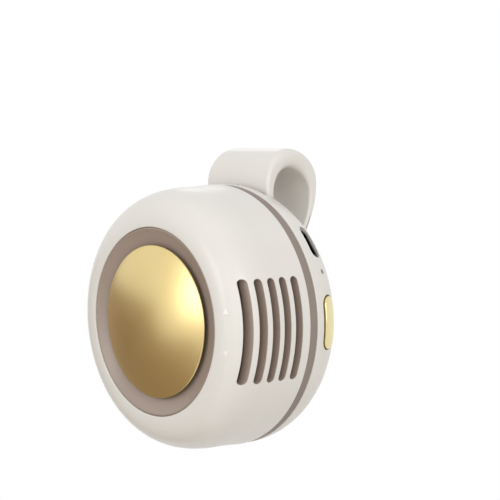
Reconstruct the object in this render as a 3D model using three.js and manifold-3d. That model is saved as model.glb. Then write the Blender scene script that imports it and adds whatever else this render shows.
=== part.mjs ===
// Clip-on fan: a round fan body that blows out around a gold dome, with a sprung clip on its back.
// Millimetres, +Z up. The fan axis runs along Y and the air leaves towards -Y.
// Until the last line, y = 0 is the rear edge of the front shell. The last line moves the whole part
// along Y, so that the origin lies on the fan axis, on the grip face of the clip's tongue.
import * as THREE from "three";
import { mergeVertices } from "three/addons/utils/BufferGeometryUtils.js";
import Module from "manifold-3d";

const wasm = await Module();
wasm.setup();

// Clearances
const FIT = 0.15; // between fixed pieces that seat in each other
const RUN = 0.35; // around everything that turns or slides
const CUT = 1; // how far a cut runs on past the face it opens

// Body shells
const BODY_RADIUS = 35;
const WALL = 1.8;
const FRONT_DEPTH = 22.8; // front shell, seam edge to front crest
const WAIST_TAPER = 0.5; // how much the front shell draws in before its front curve
const WAIST_Y = -7.2; // where that front curve starts
const FRONT_CURVE = 2.55; // superellipse power of the front curve
const OUTLET_RADIUS = 24.5;
const SEAM_WIDTH = 2.66;
const SEAM_RECESS = 0.6;
const REAR_DEPTH = 13.74; // rear shell, seam edge to flat back
const REAR_FLAT_RADIUS = 19;
const REAR_CURVE = 2.2;

// Side slots and the grille inserts that line them
const SLOT_COUNT = 5;
const SLOT_WIDTH = 2.35;
const SLOT_HEIGHT = 26;
const SLOT_PITCH = 3.75;
const LAST_SLOT_Y = -3.65;
const INSERT_RECESS = 0.1; // sleeve ends below the shell's surface
const INSERT_SHEET = 0.9;
const INSERT_MARGIN = 2.2; // sheet beyond the outermost slots
const SLEEVE_WALL = 0.35;

// Nozzle with its vanes and hub, and the dome it carries
const NOZZLE_SET_BACK = 0.25;
const NOZZLE_LAND = 0.5;
const DISH_DEPTH = 3.05; // dish rim to throat
const THROAT_RADIUS = 14.5; // the dish runs on under the dome's rim
const DISH_STEPS = 8;
const DISH_SAG = 2.25; // how far the dish's curve bends below its rim
const DISH_PULL = 6.5; // and how far outside the throat
const DUCT_WALL = 1.4;
const FLANGE_WIDTH = 1.6;
const FLANGE_THICKNESS = 1;
const ARM_THICKNESS = 1.3;
const VANE_COUNT = 7;
const VANE_THICKNESS = 1.2;
const VANE_ANGLE = 0.5; // radians off the fan axis
const HUB_WALL = 1.6;
const DOME_RADIUS = 19.8;
const DOME_RISE = 3.9;
const DOME_SET_BACK = 0.65; // dome rim behind the shell's front crest
const DOME_SHEET = 0.6;
const DOME_STEM_RADIUS = 2.6;
const DOME_STEM_DEPTH = 5; // stem length inside the hub

// Screws: pan heads, each with a shank a little under its hole
const SCREW_RADIUS = 0.85;
const SCREW_HEAD_RADIUS = 1.6;
const SCREW_HEAD_HEIGHT = 1.1;
const BOSS_WALL = 1.3;
const NOZZLE_SCREW_ANGLES = [45, 135, 270];
const FRAME_SCREW_ANGLES = [90, 225, 315];
const MOTOR_SCREW_ANGLES = [90, 210, 330];
const SCREW_BITE = 4; // thread length in a boss

// Middle frame: the taupe ring in the seam, with the plate behind the fan
const PLATE_FRONT_Y = 0.4;
const PLATE_THICKNESS = 1.8;
const RIM_WIDTH = 1.6;
const SPIGOT_DEPTH = 1;
const SPIGOT_WALL = 1.4;

// Motor and impeller
const SHAFT_RADIUS = 0.75;
const BEARING_RADIUS = 2;
const BEARING_WIDTH = 1.6;
const TUBE_WALL = 0.9;
const TUBE_LENGTH = 8;
const BASE_RADIUS = 9.4;
const BASE_THICKNESS = 1.2;
const MOTOR_SCREW_RING = 6.9;
const STATOR_RADIUS = 7.5;
const STATOR_LENGTH = 3.6;
const TOOTH_COUNT = 6;
const TOOTH_WIDTH = 1.3;
const TOOTH_TIP = 0.8;
const YOKE_WALL = 0.8;
const COIL_WALL = 0.55;
const MAGNET_WALL = 0.9;
const MAGNET_OVERHANG = 0.6; // magnets past each end of the stator
const BELL_WALL = 0.7;
const CUP_WALL = 1.2;
const BLADE_COUNT = 7;
const BLADE_START = 7; // degrees, first blade
const BLADE_THICKNESS = 0.9;
const BLADE_HEIGHT = 7.6; // along the axis
const BLADE_TWIST = 0.62; // radians from edge to edge
const BLADE_SWEEP = 1.4; // power by which the twist grows towards the front
const BLADE_ROWS = 8;
const BLADE_SPAN = 7.6; // hub to tip
const INLET_GAP = 3.4; // plate to the rear lip of the duct

// Clip
const CLIP_WIDTH = 24.6;
const CLIP_RISE = 9.55; // top of the arch above the body
const CLIP_TOP_Z = BODY_RADIUS + CLIP_RISE;
const CLIP_TIP_Z = -30;
const LEG_FRONT_Y = 6.7;
const LEG_THICKNESS = 2.5;
const ARCH_REAR_Y = 25.4;
const ARCH_BACK_THICKNESS = 2.7;
const CROWN_THICKNESS = 4.6;
const TONGUE_THICKNESS = 2.7;
const PINCH_GAP = 0.5; // tongue to the flat back when closed
const BEND_DROP = 32.05; // top of the arch to the foot of its S-bend
const BEND_BOTTOM_Z = CLIP_TOP_Z - BEND_DROP;
const BEND_PULL = 10; // handle length of the S-bend's curve
const CLIP_EDGE = 0.9; // rounding along the clip's long edges
const CLIP_EDGE_STEPS = 3;
const CLIP_OPENING = (10 * Math.PI) / 180;

// Clip hinge
const PIN_RADIUS = 0.9;
const PIN_DEPTH = 6.8; // pin axis below the shell's surface
const KNUCKLE_WALL = 1.2;
const KNUCKLE_HALF = 6.8;
const SPRING_HALF = 3;
const EAR_THICKNESS = 2;
const EAR_WALL = 1.3;
const SPRING_WIRE = 0.3;
const SPRING_TURNS = 4;
const SPRING_STEPS = 12; // points for each turn
const SPRING_LEG = 3.6;

// Electronics behind the plate
const BOARD_GAP = 2.5; // plate to board
const BOARD_THICKNESS = 1.2;
const BOARD_MARGIN = 3.2; // board edge to the shell
const FAR_SCREW_GAP = 7.8; // battery's right edge to the board screw beyond it
const BATTERY_WIDTH = 27;
const BATTERY_HEIGHT = 38;
const BATTERY_THICKNESS = 6;
const BATTERY_X = -3;
const BATTERY_CORNER = 2;
const PAD_THICKNESS = 1;
const BUTTON_LENGTH = 13.5;
const BUTTON_WIDTH = 4.5;
const BUTTON_RISE = 0.55;
const BUTTON_TRAVEL = 0.5;
const BUTTON_FLANGE = 0.8;
const BUTTON_FLANGE_THICKNESS = 0.9;
const BUTTON_Z = 0.5;
const SWITCH_SIZE = new THREE.Vector3(3, 3, 4.5);
const PLUNGER_RADIUS = 0.8;
const LED_ANGLE = 23.5;
const PIPE_RADIUS = 0.5;
const LED_SIZE = new THREE.Vector3(1.6, 2.1, 2.2);
const USB_ANGLE = 37.6;
const USB_WIDTH = 8.9;
const USB_HEIGHT = 3.2;
const USB_LENGTH = 7.3;
const USB_SHEET = 0.3;
const USB_OPENING_MARGIN = 0.35;
const USB_RECESS = 0.4; // socket mouth below the rear shell's surface
const CONTACT_LENGTH = 5;
const CONTACT_WIDTH = 5.6;
const CONTACT_BASE = 1;
const LEAD_RADIUS = 0.7;
const LEAD_STEPS = 16;
const PLUG_SIZE = new THREE.Vector3(6, 1.7, 3.4);

// Fineness of curved surfaces
const ROUND = 36;
const SMALL_ROUND = 12;
const CURVE_STEPS = 7;
const SAME_POINT = 1e-5; // corners of one surface
const MERGE_DISTANCE = 2e-3; // corners that a cut leaves closer than this are joined
const ARC_STEPS = 3; // half as many steps as a half circle has

const degrees = (angle) => (angle * Math.PI) / 180;

// Solids from three.js geometry

// A geometry whose corners closer than a distance are one, without the triangles that this closes up.
function merge(geometry, distance) {
  const merged = mergeVertices(geometry, distance);
  const index = merged.index.array;
  const corners = [];
  for (let i = 0; i < index.length; i += 3) {
    const [a, b, c] = index.slice(i, i + 3);
    if (a !== b && b !== c && c !== a) corners.push(a, b, c);
  }
  merged.setIndex(corners);
  return merged;
}

function solidOf(geometry) {
  geometry.deleteAttribute("normal");
  geometry.deleteAttribute("uv");
  const merged = merge(geometry, SAME_POINT);
  const mesh = new wasm.Mesh({
    numProp: 3,
    vertProperties: merged.attributes.position.array,
    triVerts: Uint32Array.from(merged.index.array),
  });
  return new wasm.Manifold(mesh);
}

const join = (solids) => solids.reduce((whole, solid) => whole.add(solid));
const cut = (solid, tools) => tools.reduce((rest, tool) => rest.subtract(tool), solid);

// A closed profile of (radius, y) points turned about the fan axis.
function lathe(profile, segments = ROUND) {
  const points = profile.map(([radius, y]) => new THREE.Vector2(radius, y));
  if (!THREE.ShapeUtils.isClockWise(points)) points.reverse();
  const onAxis = points.filter((point) => point.x === 0);
  if (onAxis.length === 0) points.push(points[0].clone());
  while (onAxis.length && !(points[0].x === 0 && points.at(-1).x === 0)) points.push(points.shift());
  return solidOf(new THREE.LatheGeometry(points.reverse(), segments));
}

// A ring about the fan axis.
const ring = (inner, outer, low, high, segments = ROUND) =>
  lathe([[inner, low], [outer, low], [outer, high], [inner, high]], segments);

const disc = (radius, low, high, segments = ROUND) => ring(0, radius, low, high, segments);

// A shape drawn in (x, z), running along Y between two places.
function alongY(shape, low, high, options = {}) {
  const settings = { depth: high - low, bevelEnabled: false, curveSegments: ARC_STEPS, ...options };
  const geometry = new THREE.ExtrudeGeometry(shape, settings);
  return solidOf(geometry.rotateX(Math.PI / 2).translate(0, high, 0));
}

// A shape drawn in (y, z), running along X between two places.
function alongX(shape, low, high, options = {}) {
  const settings = { depth: high - low, bevelEnabled: false, curveSegments: ARC_STEPS, ...options };
  const geometry = new THREE.ExtrudeGeometry(shape, settings);
  const turn = new THREE.Matrix4().makeBasis(
    new THREE.Vector3(0, 1, 0),
    new THREE.Vector3(0, 0, 1),
    new THREE.Vector3(1, 0, 0),
  );
  return solidOf(geometry.applyMatrix4(turn).translate(low, 0, 0));
}

function box(low, high) {
  const size = high.map((value, i) => value - low[i]);
  const middle = high.map((value, i) => (value + low[i]) / 2);
  return solidOf(new THREE.BoxGeometry(...size).translate(...middle));
}

// A round bar along X, between two places, about a line at (y, z).
function barX(radius, low, high, y, z) {
  const geometry = new THREE.CylinderGeometry(radius, radius, high - low, SMALL_ROUND);
  return solidOf(geometry.rotateZ(Math.PI / 2).translate((low + high) / 2, y, z));
}

// A round bar along Y, between two places, about a line at (x, z).
function barY(radius, low, high, x, z) {
  const geometry = new THREE.CylinderGeometry(radius, radius, high - low, SMALL_ROUND);
  return solidOf(geometry.translate(x, (low + high) / 2, z));
}

// A solid turned about the fan axis by an angle in degrees, from +X up towards +Z.
const turned = (solid, angle) => solid.rotate([0, -angle, 0]);

// A pill outline: a box with full round ends, long way up.
function pill(width, length, x = 0, y = 0) {
  const radius = width / 2;
  const reach = length / 2 - radius;
  const shape = new THREE.Shape();
  shape.absarc(x, y + reach, radius, 0, Math.PI, false);
  shape.absarc(x, y - reach, radius, Math.PI, 2 * Math.PI, false);
  return shape;
}

function roundedBox(width, height, corner, x = 0, y = 0) {
  const [left, right] = [x - width / 2, x + width / 2];
  const [low, high] = [y - height / 2, y + height / 2];
  const shape = new THREE.Shape();
  shape.absarc(right - corner, high - corner, corner, 0, Math.PI / 2, false);
  shape.absarc(left + corner, high - corner, corner, Math.PI / 2, Math.PI, false);
  shape.absarc(left + corner, low + corner, corner, Math.PI, 1.5 * Math.PI, false);
  shape.absarc(right - corner, low + corner, corner, 1.5 * Math.PI, 2 * Math.PI, false);
  return shape;
}

// A round wire along hand-chosen points.
function wire(points, radius, steps) {
  const path = new THREE.CatmullRomCurve3(points.map((point) => new THREE.Vector3(...point)));
  const section = new THREE.Shape().absarc(0, 0, radius, 0, 2 * Math.PI, false);
  const options = { extrudePath: path, steps, curveSegments: ARC_STEPS, bevelEnabled: false };
  return solidOf(new THREE.ExtrudeGeometry(section, options));
}

// Body outlines, as (radius, y) points that run so that the inside lies on one hand

const waistRadius = BODY_RADIUS - WAIST_TAPER;

function frontOutline() {
  const points = [[BODY_RADIUS, 0]];
  for (let i = 0; i <= CURVE_STEPS; i++) {
    const turn = (Math.PI / 2) * (1 - i / CURVE_STEPS);
    const across = Math.sin(turn) ** (2 / FRONT_CURVE);
    const along = Math.max(Math.cos(turn), 0) ** (2 / FRONT_CURVE);
    const radius = OUTLET_RADIUS + (waistRadius - OUTLET_RADIUS) * across;
    points.push([radius, WAIST_Y - (FRONT_DEPTH + WAIST_Y) * along]);
  }
  return points;
}

const backY = SEAM_WIDTH + REAR_DEPTH;

function rearOutline() {
  const points = [[0, backY]];
  for (let i = 0; i <= CURVE_STEPS; i++) {
    const turn = (Math.PI / 2) * (i / CURVE_STEPS);
    const across = Math.sin(turn) ** (2 / REAR_CURVE);
    const along = Math.max(Math.cos(turn), 0) ** (2 / REAR_CURVE);
    const radius = REAR_FLAT_RADIUS + (BODY_RADIUS - REAR_FLAT_RADIUS) * across;
    points.push([radius, SEAM_WIDTH + REAR_DEPTH * along]);
  }
  return points;
}

// The same outline moved inwards by a distance. Its seam end moves straight towards the axis,
// and its outlet end straight back.
function inset(outline, distance) {
  const tiny = 1e-9;
  return outline.map(([radius, y], i) => {
    if (Math.abs(radius - BODY_RADIUS) < tiny) return [radius - distance, y];
    if (Math.abs(y + FRONT_DEPTH) < tiny) return [radius, y + distance];
    const before = outline[Math.max(i - 1, 0)];
    const after = outline[Math.min(i + 1, outline.length - 1)];
    const run = [after[0] - before[0], after[1] - before[1]];
    const length = Math.hypot(...run);
    const inwards = radius === 0 ? 0 : (run[1] / length) * distance;
    const back = radius === 0 ? -distance : (-run[0] / length) * distance;
    return [radius + inwards, y + back];
  });
}

// Where an outline passes a radius: the y there.
function yAtRadius(outline, radius) {
  for (let i = 1; i < outline.length; i++) {
    const [[r0, y0], [r1, y1]] = [outline[i - 1], outline[i]];
    if ((r0 - radius) * (r1 - radius) <= 0 && r0 !== r1) {
      return y0 + ((y1 - y0) * (radius - r0)) / (r1 - r0);
    }
  }
  return outline.at(-1)[1];
}

// Where an outline passes a y: the radius there.
const radiusAtY = (outline, y) => yAtRadius(outline.map(([r, v]) => [v, r]), y);

const front = frontOutline();
const rear = rearOutline();
const frontInside = inset(front, WALL);
const rearInside = inset(rear, WALL);

// The skin between two depths below an outline.
const skin = (outline, outer, inner) =>
  lathe([...inset(outline, outer), ...inset(outline, inner).reverse()]);

// Everything below a depth under the front outline, out to the seam edge.
function frontFill(depth) {
  const edge = inset(front, depth);
  return lathe([[0, 0], ...edge, [0, edge.at(-1)[1]]]);
}

// Screws and their bosses

const bossRadius = SCREW_RADIUS + BOSS_WALL;
const holeRadius = SCREW_RADIUS + RUN;

// A screw along Y: its head sits behind seatY and its shank runs forward, to lower y.
function screw(x, z, seatY, length) {
  const head = barY(SCREW_HEAD_RADIUS, seatY + FIT, seatY + FIT + SCREW_HEAD_HEIGHT, x, z);
  const shank = barY(SCREW_RADIUS, seatY + FIT - length, seatY + FIT + SCREW_HEAD_HEIGHT / 2, x, z);
  return head.add(shank);
}

const onRing = (radius, angle) => [
  radius * Math.cos(degrees(angle)),
  radius * Math.sin(degrees(angle)),
];

// Front shell

const frameScrewRing = waistRadius - WALL - bossRadius + WALL / 4;
const nozzleScrewRing = OUTLET_RADIUS + FLANGE_WIDTH + bossRadius / 2;
// The nozzle's arms lie behind the shell's front curve at the arms' outer ends.
const armFrontY = yAtRadius(frontInside, nozzleScrewRing + bossRadius) + RUN;

const slotY = (i) => LAST_SLOT_Y - i * SLOT_PITCH;
const slotNumbers = Array.from({ length: SLOT_COUNT }, (_, i) => i);

// All slot outlines of one side, narrowed on every side by a margin, as bars along X.
function slotBars(margin, side) {
  const [low, high] = side > 0 ? [WALL, 2 * BODY_RADIUS] : [-2 * BODY_RADIUS, -WALL];
  const bars = slotNumbers.map((i) =>
    alongX(pill(SLOT_WIDTH - 2 * margin, SLOT_HEIGHT - 2 * margin, slotY(i)), low, high),
  );
  return join(bars);
}

function frontShell() {
  const inside = frontFill(WALL / 2);
  const shell = lathe([...front, ...[...frontInside].reverse()]);
  const bosses = [
    ...FRAME_SCREW_ANGLES.map((a) => barY(bossRadius, -FRONT_DEPTH, 0, ...onRing(frameScrewRing, a))),
    ...NOZZLE_SCREW_ANGLES.map((a) =>
      barY(bossRadius, -FRONT_DEPTH, armFrontY - FIT, ...onRing(nozzleScrewRing, a)),
    ),
  ].map((boss) => boss.intersect(inside));
  const holes = [
    ...FRAME_SCREW_ANGLES.map((a) => barY(holeRadius, -SCREW_BITE, CUT, ...onRing(frameScrewRing, a))),
    ...NOZZLE_SCREW_ANGLES.map((a) =>
      barY(holeRadius, armFrontY - SCREW_BITE / 2, armFrontY + CUT, ...onRing(nozzleScrewRing, a)),
    ),
  ];
  return cut(join([shell, ...bosses]), [...holes, slotBars(0, 1), slotBars(0, -1)]);
}

// A grille insert: a sheet against the shell's inside, with a sleeve through every slot.
function grilleInsert(side) {
  const sheetTop = WALL + FIT;
  const sheetBottom = sheetTop + INSERT_SHEET;
  const reach = SLOT_HEIGHT / 2 + INSERT_MARGIN;
  const lowY = slotY(SLOT_COUNT - 1) - SLOT_WIDTH / 2;
  const highY = -SPIGOT_DEPTH - RUN;
  const span = side > 0 ? [0, 2 * BODY_RADIUS] : [-2 * BODY_RADIUS, 0];
  const window = box([span[0], lowY, -reach], [span[1], highY, reach]);
  const sheet = skin(front, sheetTop, sheetBottom).intersect(window);
  const sleeves = skin(front, INSERT_RECESS, sheetBottom).intersect(slotBars(FIT, side));
  const flangeRoom = disc(OUTLET_RADIUS + FLANGE_WIDTH + RUN, -FRONT_DEPTH, flangeBackY + RUN);
  return cut(sheet.add(sleeves), [slotBars(FIT + SLEEVE_WALL, side), flangeRoom]);
}

// Motor, from the plate forward

const baseBackY = PLATE_FRONT_Y - FIT;
const baseFrontY = baseBackY - BASE_THICKNESS;
const tubeFrontY = baseFrontY - TUBE_LENGTH;
const tubeRadius = BEARING_RADIUS + FIT + TUBE_WALL;
const magnetInner = STATOR_RADIUS + RUN;
const magnetOuter = magnetInner + MAGNET_WALL;
const bellInner = magnetOuter + FIT;
const bellRadius = bellInner + BELL_WALL;
const bellBackY = baseFrontY - 2 * RUN;
const bellFaceY = tubeFrontY - 2 * RUN;
const bellFrontY = bellFaceY - BELL_WALL;
const cupInner = bellRadius + FIT;
const cupRadius = cupInner + CUP_WALL;
const cupFaceY = bellFrontY - FIT;
const cupFrontY = cupFaceY - CUP_WALL;
const bladeTip = cupRadius + BLADE_SPAN;
const ductRadius = bladeTip + 2 * RUN;
const bladeBackY = bellBackY - FIT;
const ductBackY = PLATE_FRONT_Y - INLET_GAP;
const statorMidY = (baseFrontY + tubeFrontY) / 2;
const statorSpan = [statorMidY - STATOR_LENGTH / 2, statorMidY + STATOR_LENGTH / 2];

function motorBase() {
  const flange = disc(BASE_RADIUS, baseFrontY, baseBackY, SMALL_ROUND * 2);
  const tube = disc(tubeRadius, tubeFrontY, baseBackY, SMALL_ROUND * 2);
  const bore = disc(BEARING_RADIUS + FIT, tubeFrontY - CUT, baseBackY + CUT, SMALL_ROUND * 2);
  const holes = MOTOR_SCREW_ANGLES.map((a) =>
    barY(holeRadius, baseFrontY - CUT, baseBackY + CUT, ...onRing(MOTOR_SCREW_RING, a)),
  );
  const leadHole = barY(LEAD_RADIUS + RUN, baseFrontY - CUT, baseBackY + CUT, 0, leadZ);
  return cut(flange.add(tube), [bore, leadHole, ...holes]);
}

const bearing = (low) =>
  ring(SHAFT_RADIUS + FIT, BEARING_RADIUS, low, low + BEARING_WIDTH, SMALL_ROUND);

// One tooth reaching out along +X, as a box between two radii.
function toothBox(inner, outer, halfWidth, low, high) {
  return box([inner, low, -halfWidth], [outer, high, halfWidth]);
}

const teeth = Array.from({ length: TOOTH_COUNT }, (_, i) => (360 / TOOTH_COUNT) * (i + 0.5));
const yokeInner = tubeRadius + FIT;
const yokeOuter = yokeInner + YOKE_WALL;
const shoeInner = STATOR_RADIUS - TOOTH_TIP;

function statorCore() {
  const [low, high] = statorSpan;
  const shoeHalf = STATOR_RADIUS * Math.sin(Math.PI / TOOTH_COUNT) - RUN;
  const arm = toothBox(yokeInner + YOKE_WALL / 2, shoeInner + FIT, TOOTH_WIDTH / 2, low, high);
  const shoe = ring(shoeInner, STATOR_RADIUS, low, high, SMALL_ROUND * 2).intersect(
    toothBox(0, 2 * STATOR_RADIUS, shoeHalf, low, high),
  );
  const tooth = arm.add(shoe);
  const yoke = ring(yokeInner, yokeOuter, low, high, SMALL_ROUND * 2);
  return join([yoke, ...teeth.map((a) => turned(tooth, a))]);
}

// Six coils round the teeth, joined behind by their crossing wires.
function statorWindings() {
  const [low, high] = statorSpan;
  const inner = yokeOuter + RUN;
  const outer = shoeInner - RUN;
  const half = TOOTH_WIDTH / 2 + FIT;
  const body = toothBox(inner, outer, half + COIL_WALL, low - FIT - COIL_WALL, high + FIT + COIL_WALL);
  const core = toothBox(inner - CUT, outer + CUT, half, low - FIT, high + FIT);
  const coil = body.subtract(core);
  const crossing = ring(inner, inner + COIL_WALL, high + 2 * FIT, high + FIT + COIL_WALL, SMALL_ROUND * 2);
  return join([crossing, ...teeth.map((a) => turned(coil, a))]);
}

function magnetRing() {
  const [low, high] = [statorSpan[0] - MAGNET_OVERHANG, statorSpan[1] + MAGNET_OVERHANG];
  return ring(magnetInner, magnetOuter, low, high, SMALL_ROUND * 2);
}

function rotorBell() {
  const cup = disc(bellRadius, bellFrontY, bellBackY, SMALL_ROUND * 2);
  const hollow = disc(bellInner, bellFaceY, bellBackY + CUT, SMALL_ROUND * 2);
  const bore = disc(SHAFT_RADIUS + FIT, bellFrontY - CUT, bellBackY + CUT, SMALL_ROUND);
  return cut(cup, [hollow, bore]);
}

const shaftFrontY = cupFrontY + CUP_WALL / 2;
const clipRingY = baseBackY - BEARING_WIDTH / 2;
const motorShaft = () => disc(SHAFT_RADIUS, shaftFrontY + FIT, clipRingY + 2 * FIT, SMALL_ROUND);

// One blade: a thin twisted plate from inside the cup wall to the tip, closed on all sides.
function blade() {
  const rows = BLADE_ROWS;
  const positions = [];
  const quads = [];
  const half = BLADE_THICKNESS / 2;
  const radii = [cupRadius - CUP_WALL / 2, bladeTip];
  for (let i = 0; i <= rows; i++) {
    const y = bladeBackY - RUN - BLADE_HEIGHT * (i / rows);
    const angle = BLADE_TWIST * (i / rows) ** BLADE_SWEEP;
    for (const [radius, side] of [[radii[0], -1], [radii[1], -1], [radii[1], 1], [radii[0], 1]]) {
      const across = side * half;
      const x = radius * Math.cos(angle) - across * Math.sin(angle);
      const z = radius * Math.sin(angle) + across * Math.cos(angle);
      positions.push(x, y, z);
    }
  }
  for (let i = 0; i < rows; i++) {
    for (let k = 0; k < 4; k++) {
      const next = (k + 1) % 4;
      quads.push([4 * i + k, 4 * i + next, 4 * i + 4 + next, 4 * i + 4 + k]);
    }
  }
  const last = 4 * rows;
  quads.push([3, 2, 1, 0], [last, last + 1, last + 2, last + 3]);
  const index = quads.flatMap(([a, b, c, d]) => [a, b, c, a, c, d]);
  const geometry = new THREE.BufferGeometry();
  geometry.setAttribute("position", new THREE.Float32BufferAttribute(positions, 3));
  geometry.setIndex(index);
  return solidOf(geometry);
}

function impeller() {
  const cup = disc(cupRadius, cupFrontY, bladeBackY, SMALL_ROUND * 2);
  const hollow = disc(cupInner, cupFaceY, bladeBackY + CUT, SMALL_ROUND * 2);
  const bore = disc(SHAFT_RADIUS + FIT, shaftFrontY, cupFaceY + CUT, SMALL_ROUND);
  const blades = Array.from({ length: BLADE_COUNT }, (_, i) =>
    turned(blade(), BLADE_START + (360 / BLADE_COUNT) * i),
  );
  return cut(join([cup, ...blades]), [hollow, bore]);
}

const retainingRing = () =>
  ring(SHAFT_RADIUS + FIT, BEARING_RADIUS - FIT, clipRingY - FIT, clipRingY + 2 * FIT, SMALL_ROUND);

// Nozzle: dish, throat, duct, vanes and hub in one moulding

const rimY = -FRONT_DEPTH + NOZZLE_SET_BACK;
const throatY = rimY + DISH_DEPTH;
const flangeFrontY = yAtRadius(frontInside, OUTLET_RADIUS + FLANGE_WIDTH) + FIT;
const flangeBackY = flangeFrontY + FLANGE_THICKNESS;
const hubRearY = cupFrontY - 3 * RUN;
const hubRadius = cupRadius;
const domeRimY = -FRONT_DEPTH + DOME_SET_BACK;
const domeInnerTopY = domeRimY - DOME_RISE + DOME_SHEET;
const hubFrontY = domeRimY + DOME_SHEET + FIT;
const stemEndY = hubFrontY + DOME_STEM_DEPTH;

function dishCurve() {
  const curve = new THREE.QuadraticBezierCurve(
    new THREE.Vector2(OUTLET_RADIUS - FIT - NOZZLE_LAND, rimY),
    new THREE.Vector2(THROAT_RADIUS + DISH_PULL, rimY + DISH_SAG),
    new THREE.Vector2(THROAT_RADIUS, throatY),
  );
  return curve.getPoints(DISH_STEPS).map((point) => [point.x, point.y]);
}

function nozzle() {
  const outerRadius = ductRadius + DUCT_WALL;
  const wall = lathe([
    [OUTLET_RADIUS - FIT, rimY],
    ...dishCurve(),
    [ductRadius, hubRearY],
    [ductRadius, ductBackY],
    [outerRadius, ductBackY],
    [outerRadius, flangeBackY],
    [OUTLET_RADIUS + FLANGE_WIDTH, flangeBackY],
    [OUTLET_RADIUS + FLANGE_WIDTH, flangeFrontY],
    [OUTLET_RADIUS - FIT, flangeFrontY],
  ]);
  const hub = lathe([
    [0, hubFrontY],
    [hubRadius - HUB_WALL * 2, hubFrontY],
    [hubRadius, throatY],
    [hubRadius, hubRearY],
    [0, hubRearY],
  ]);
  const vaneReach = Math.max(ductRadius, THROAT_RADIUS) + DUCT_WALL / 2;
  const vaneSpan = new THREE.Vector2(throatY + FIT, hubRearY);
  const vaneHeight = vaneSpan.y - vaneSpan.x;
  const vaneLength = vaneReach - hubRadius + HUB_WALL;
  const plate = new THREE.BoxGeometry(vaneLength, 2 * vaneHeight, VANE_THICKNESS);
  plate.translate((vaneReach + hubRadius - HUB_WALL) / 2, 0, 0).rotateX(VANE_ANGLE);
  const band = disc(vaneReach, vaneSpan.x, vaneSpan.y);
  const vane = solidOf(plate.translate(0, (vaneSpan.x + vaneSpan.y) / 2, 0)).intersect(band);
  const vanes = Array.from({ length: VANE_COUNT }, (_, i) => turned(vane, (360 / VANE_COUNT) * i));
  const arm = box(
    [ductRadius + DUCT_WALL / 2, armFrontY, -bossRadius],
    [nozzleScrewRing, armBackY, bossRadius],
  );
  const armEnd = barY(bossRadius, armFrontY, armBackY, nozzleScrewRing, 0);
  const arms = NOZZLE_SCREW_ANGLES.map((a) => turned(arm.add(armEnd), a));
  const holes = NOZZLE_SCREW_ANGLES.map((a) =>
    barY(holeRadius, armFrontY - CUT, armBackY + CUT, ...onRing(nozzleScrewRing, a)),
  );
  const bossRoom = NOZZLE_SCREW_ANGLES.map((a) =>
    barY(bossRadius + RUN, -FRONT_DEPTH, armFrontY, ...onRing(nozzleScrewRing, a)),
  );
  const stemBore = disc(DOME_STEM_RADIUS + FIT, hubFrontY - CUT, stemEndY + RUN, SMALL_ROUND * 2);
  return cut(join([cut(wall, bossRoom), hub, ...vanes, ...arms]), [...holes, stemBore]);
}

const armBackY = armFrontY + ARM_THICKNESS;

// Dome: a shallow cap of a sphere on a stem.
function domeCap() {
  const sphere = (DOME_RADIUS ** 2 + DOME_RISE ** 2) / (2 * DOME_RISE);
  const centreY = domeRimY - DOME_RISE + sphere;
  const arc = (radius, edge, shift) =>
    Array.from({ length: CURVE_STEPS + 1 }, (_, i) => {
      const r = edge * (i / CURVE_STEPS);
      return [r, centreY - Math.sqrt(radius ** 2 - r ** 2) + shift];
    });
  const outer = arc(sphere, DOME_RADIUS, 0);
  const inner = arc(sphere, DOME_RADIUS, DOME_SHEET).reverse();
  const cap = lathe([...outer, ...inner]);
  const stem = disc(DOME_STEM_RADIUS, domeInnerTopY - DOME_SHEET / 2, stemEndY, SMALL_ROUND * 2);
  return cap.add(stem);
}

// Middle frame

const seamRadius = BODY_RADIUS - SEAM_RECESS;
const plateBackY = PLATE_FRONT_Y + PLATE_THICKNESS;
const spigotRadius = waistRadius - WALL - FIT;
const boardFrontY = plateBackY + BOARD_GAP;
const boardBackY = boardFrontY + BOARD_THICKNESS;
const leadZ = -(yokeOuter + shoeInner) / 2;

const batteryEdges = {
  left: BATTERY_X - BATTERY_WIDTH / 2,
  right: BATTERY_X + BATTERY_WIDTH / 2,
  bottom: -BATTERY_HEIGHT / 2,
};
// Board screws stand just outside the battery's edges.
const headRoom = SCREW_HEAD_RADIUS + RUN;
const boardScrews = [
  [batteryEdges.left - headRoom, BATTERY_HEIGHT / 4],
  [batteryEdges.right + FAR_SCREW_GAP, -BATTERY_HEIGHT / 4],
  [BATTERY_X + BATTERY_WIDTH / 4, batteryEdges.bottom - headRoom],
];

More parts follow.
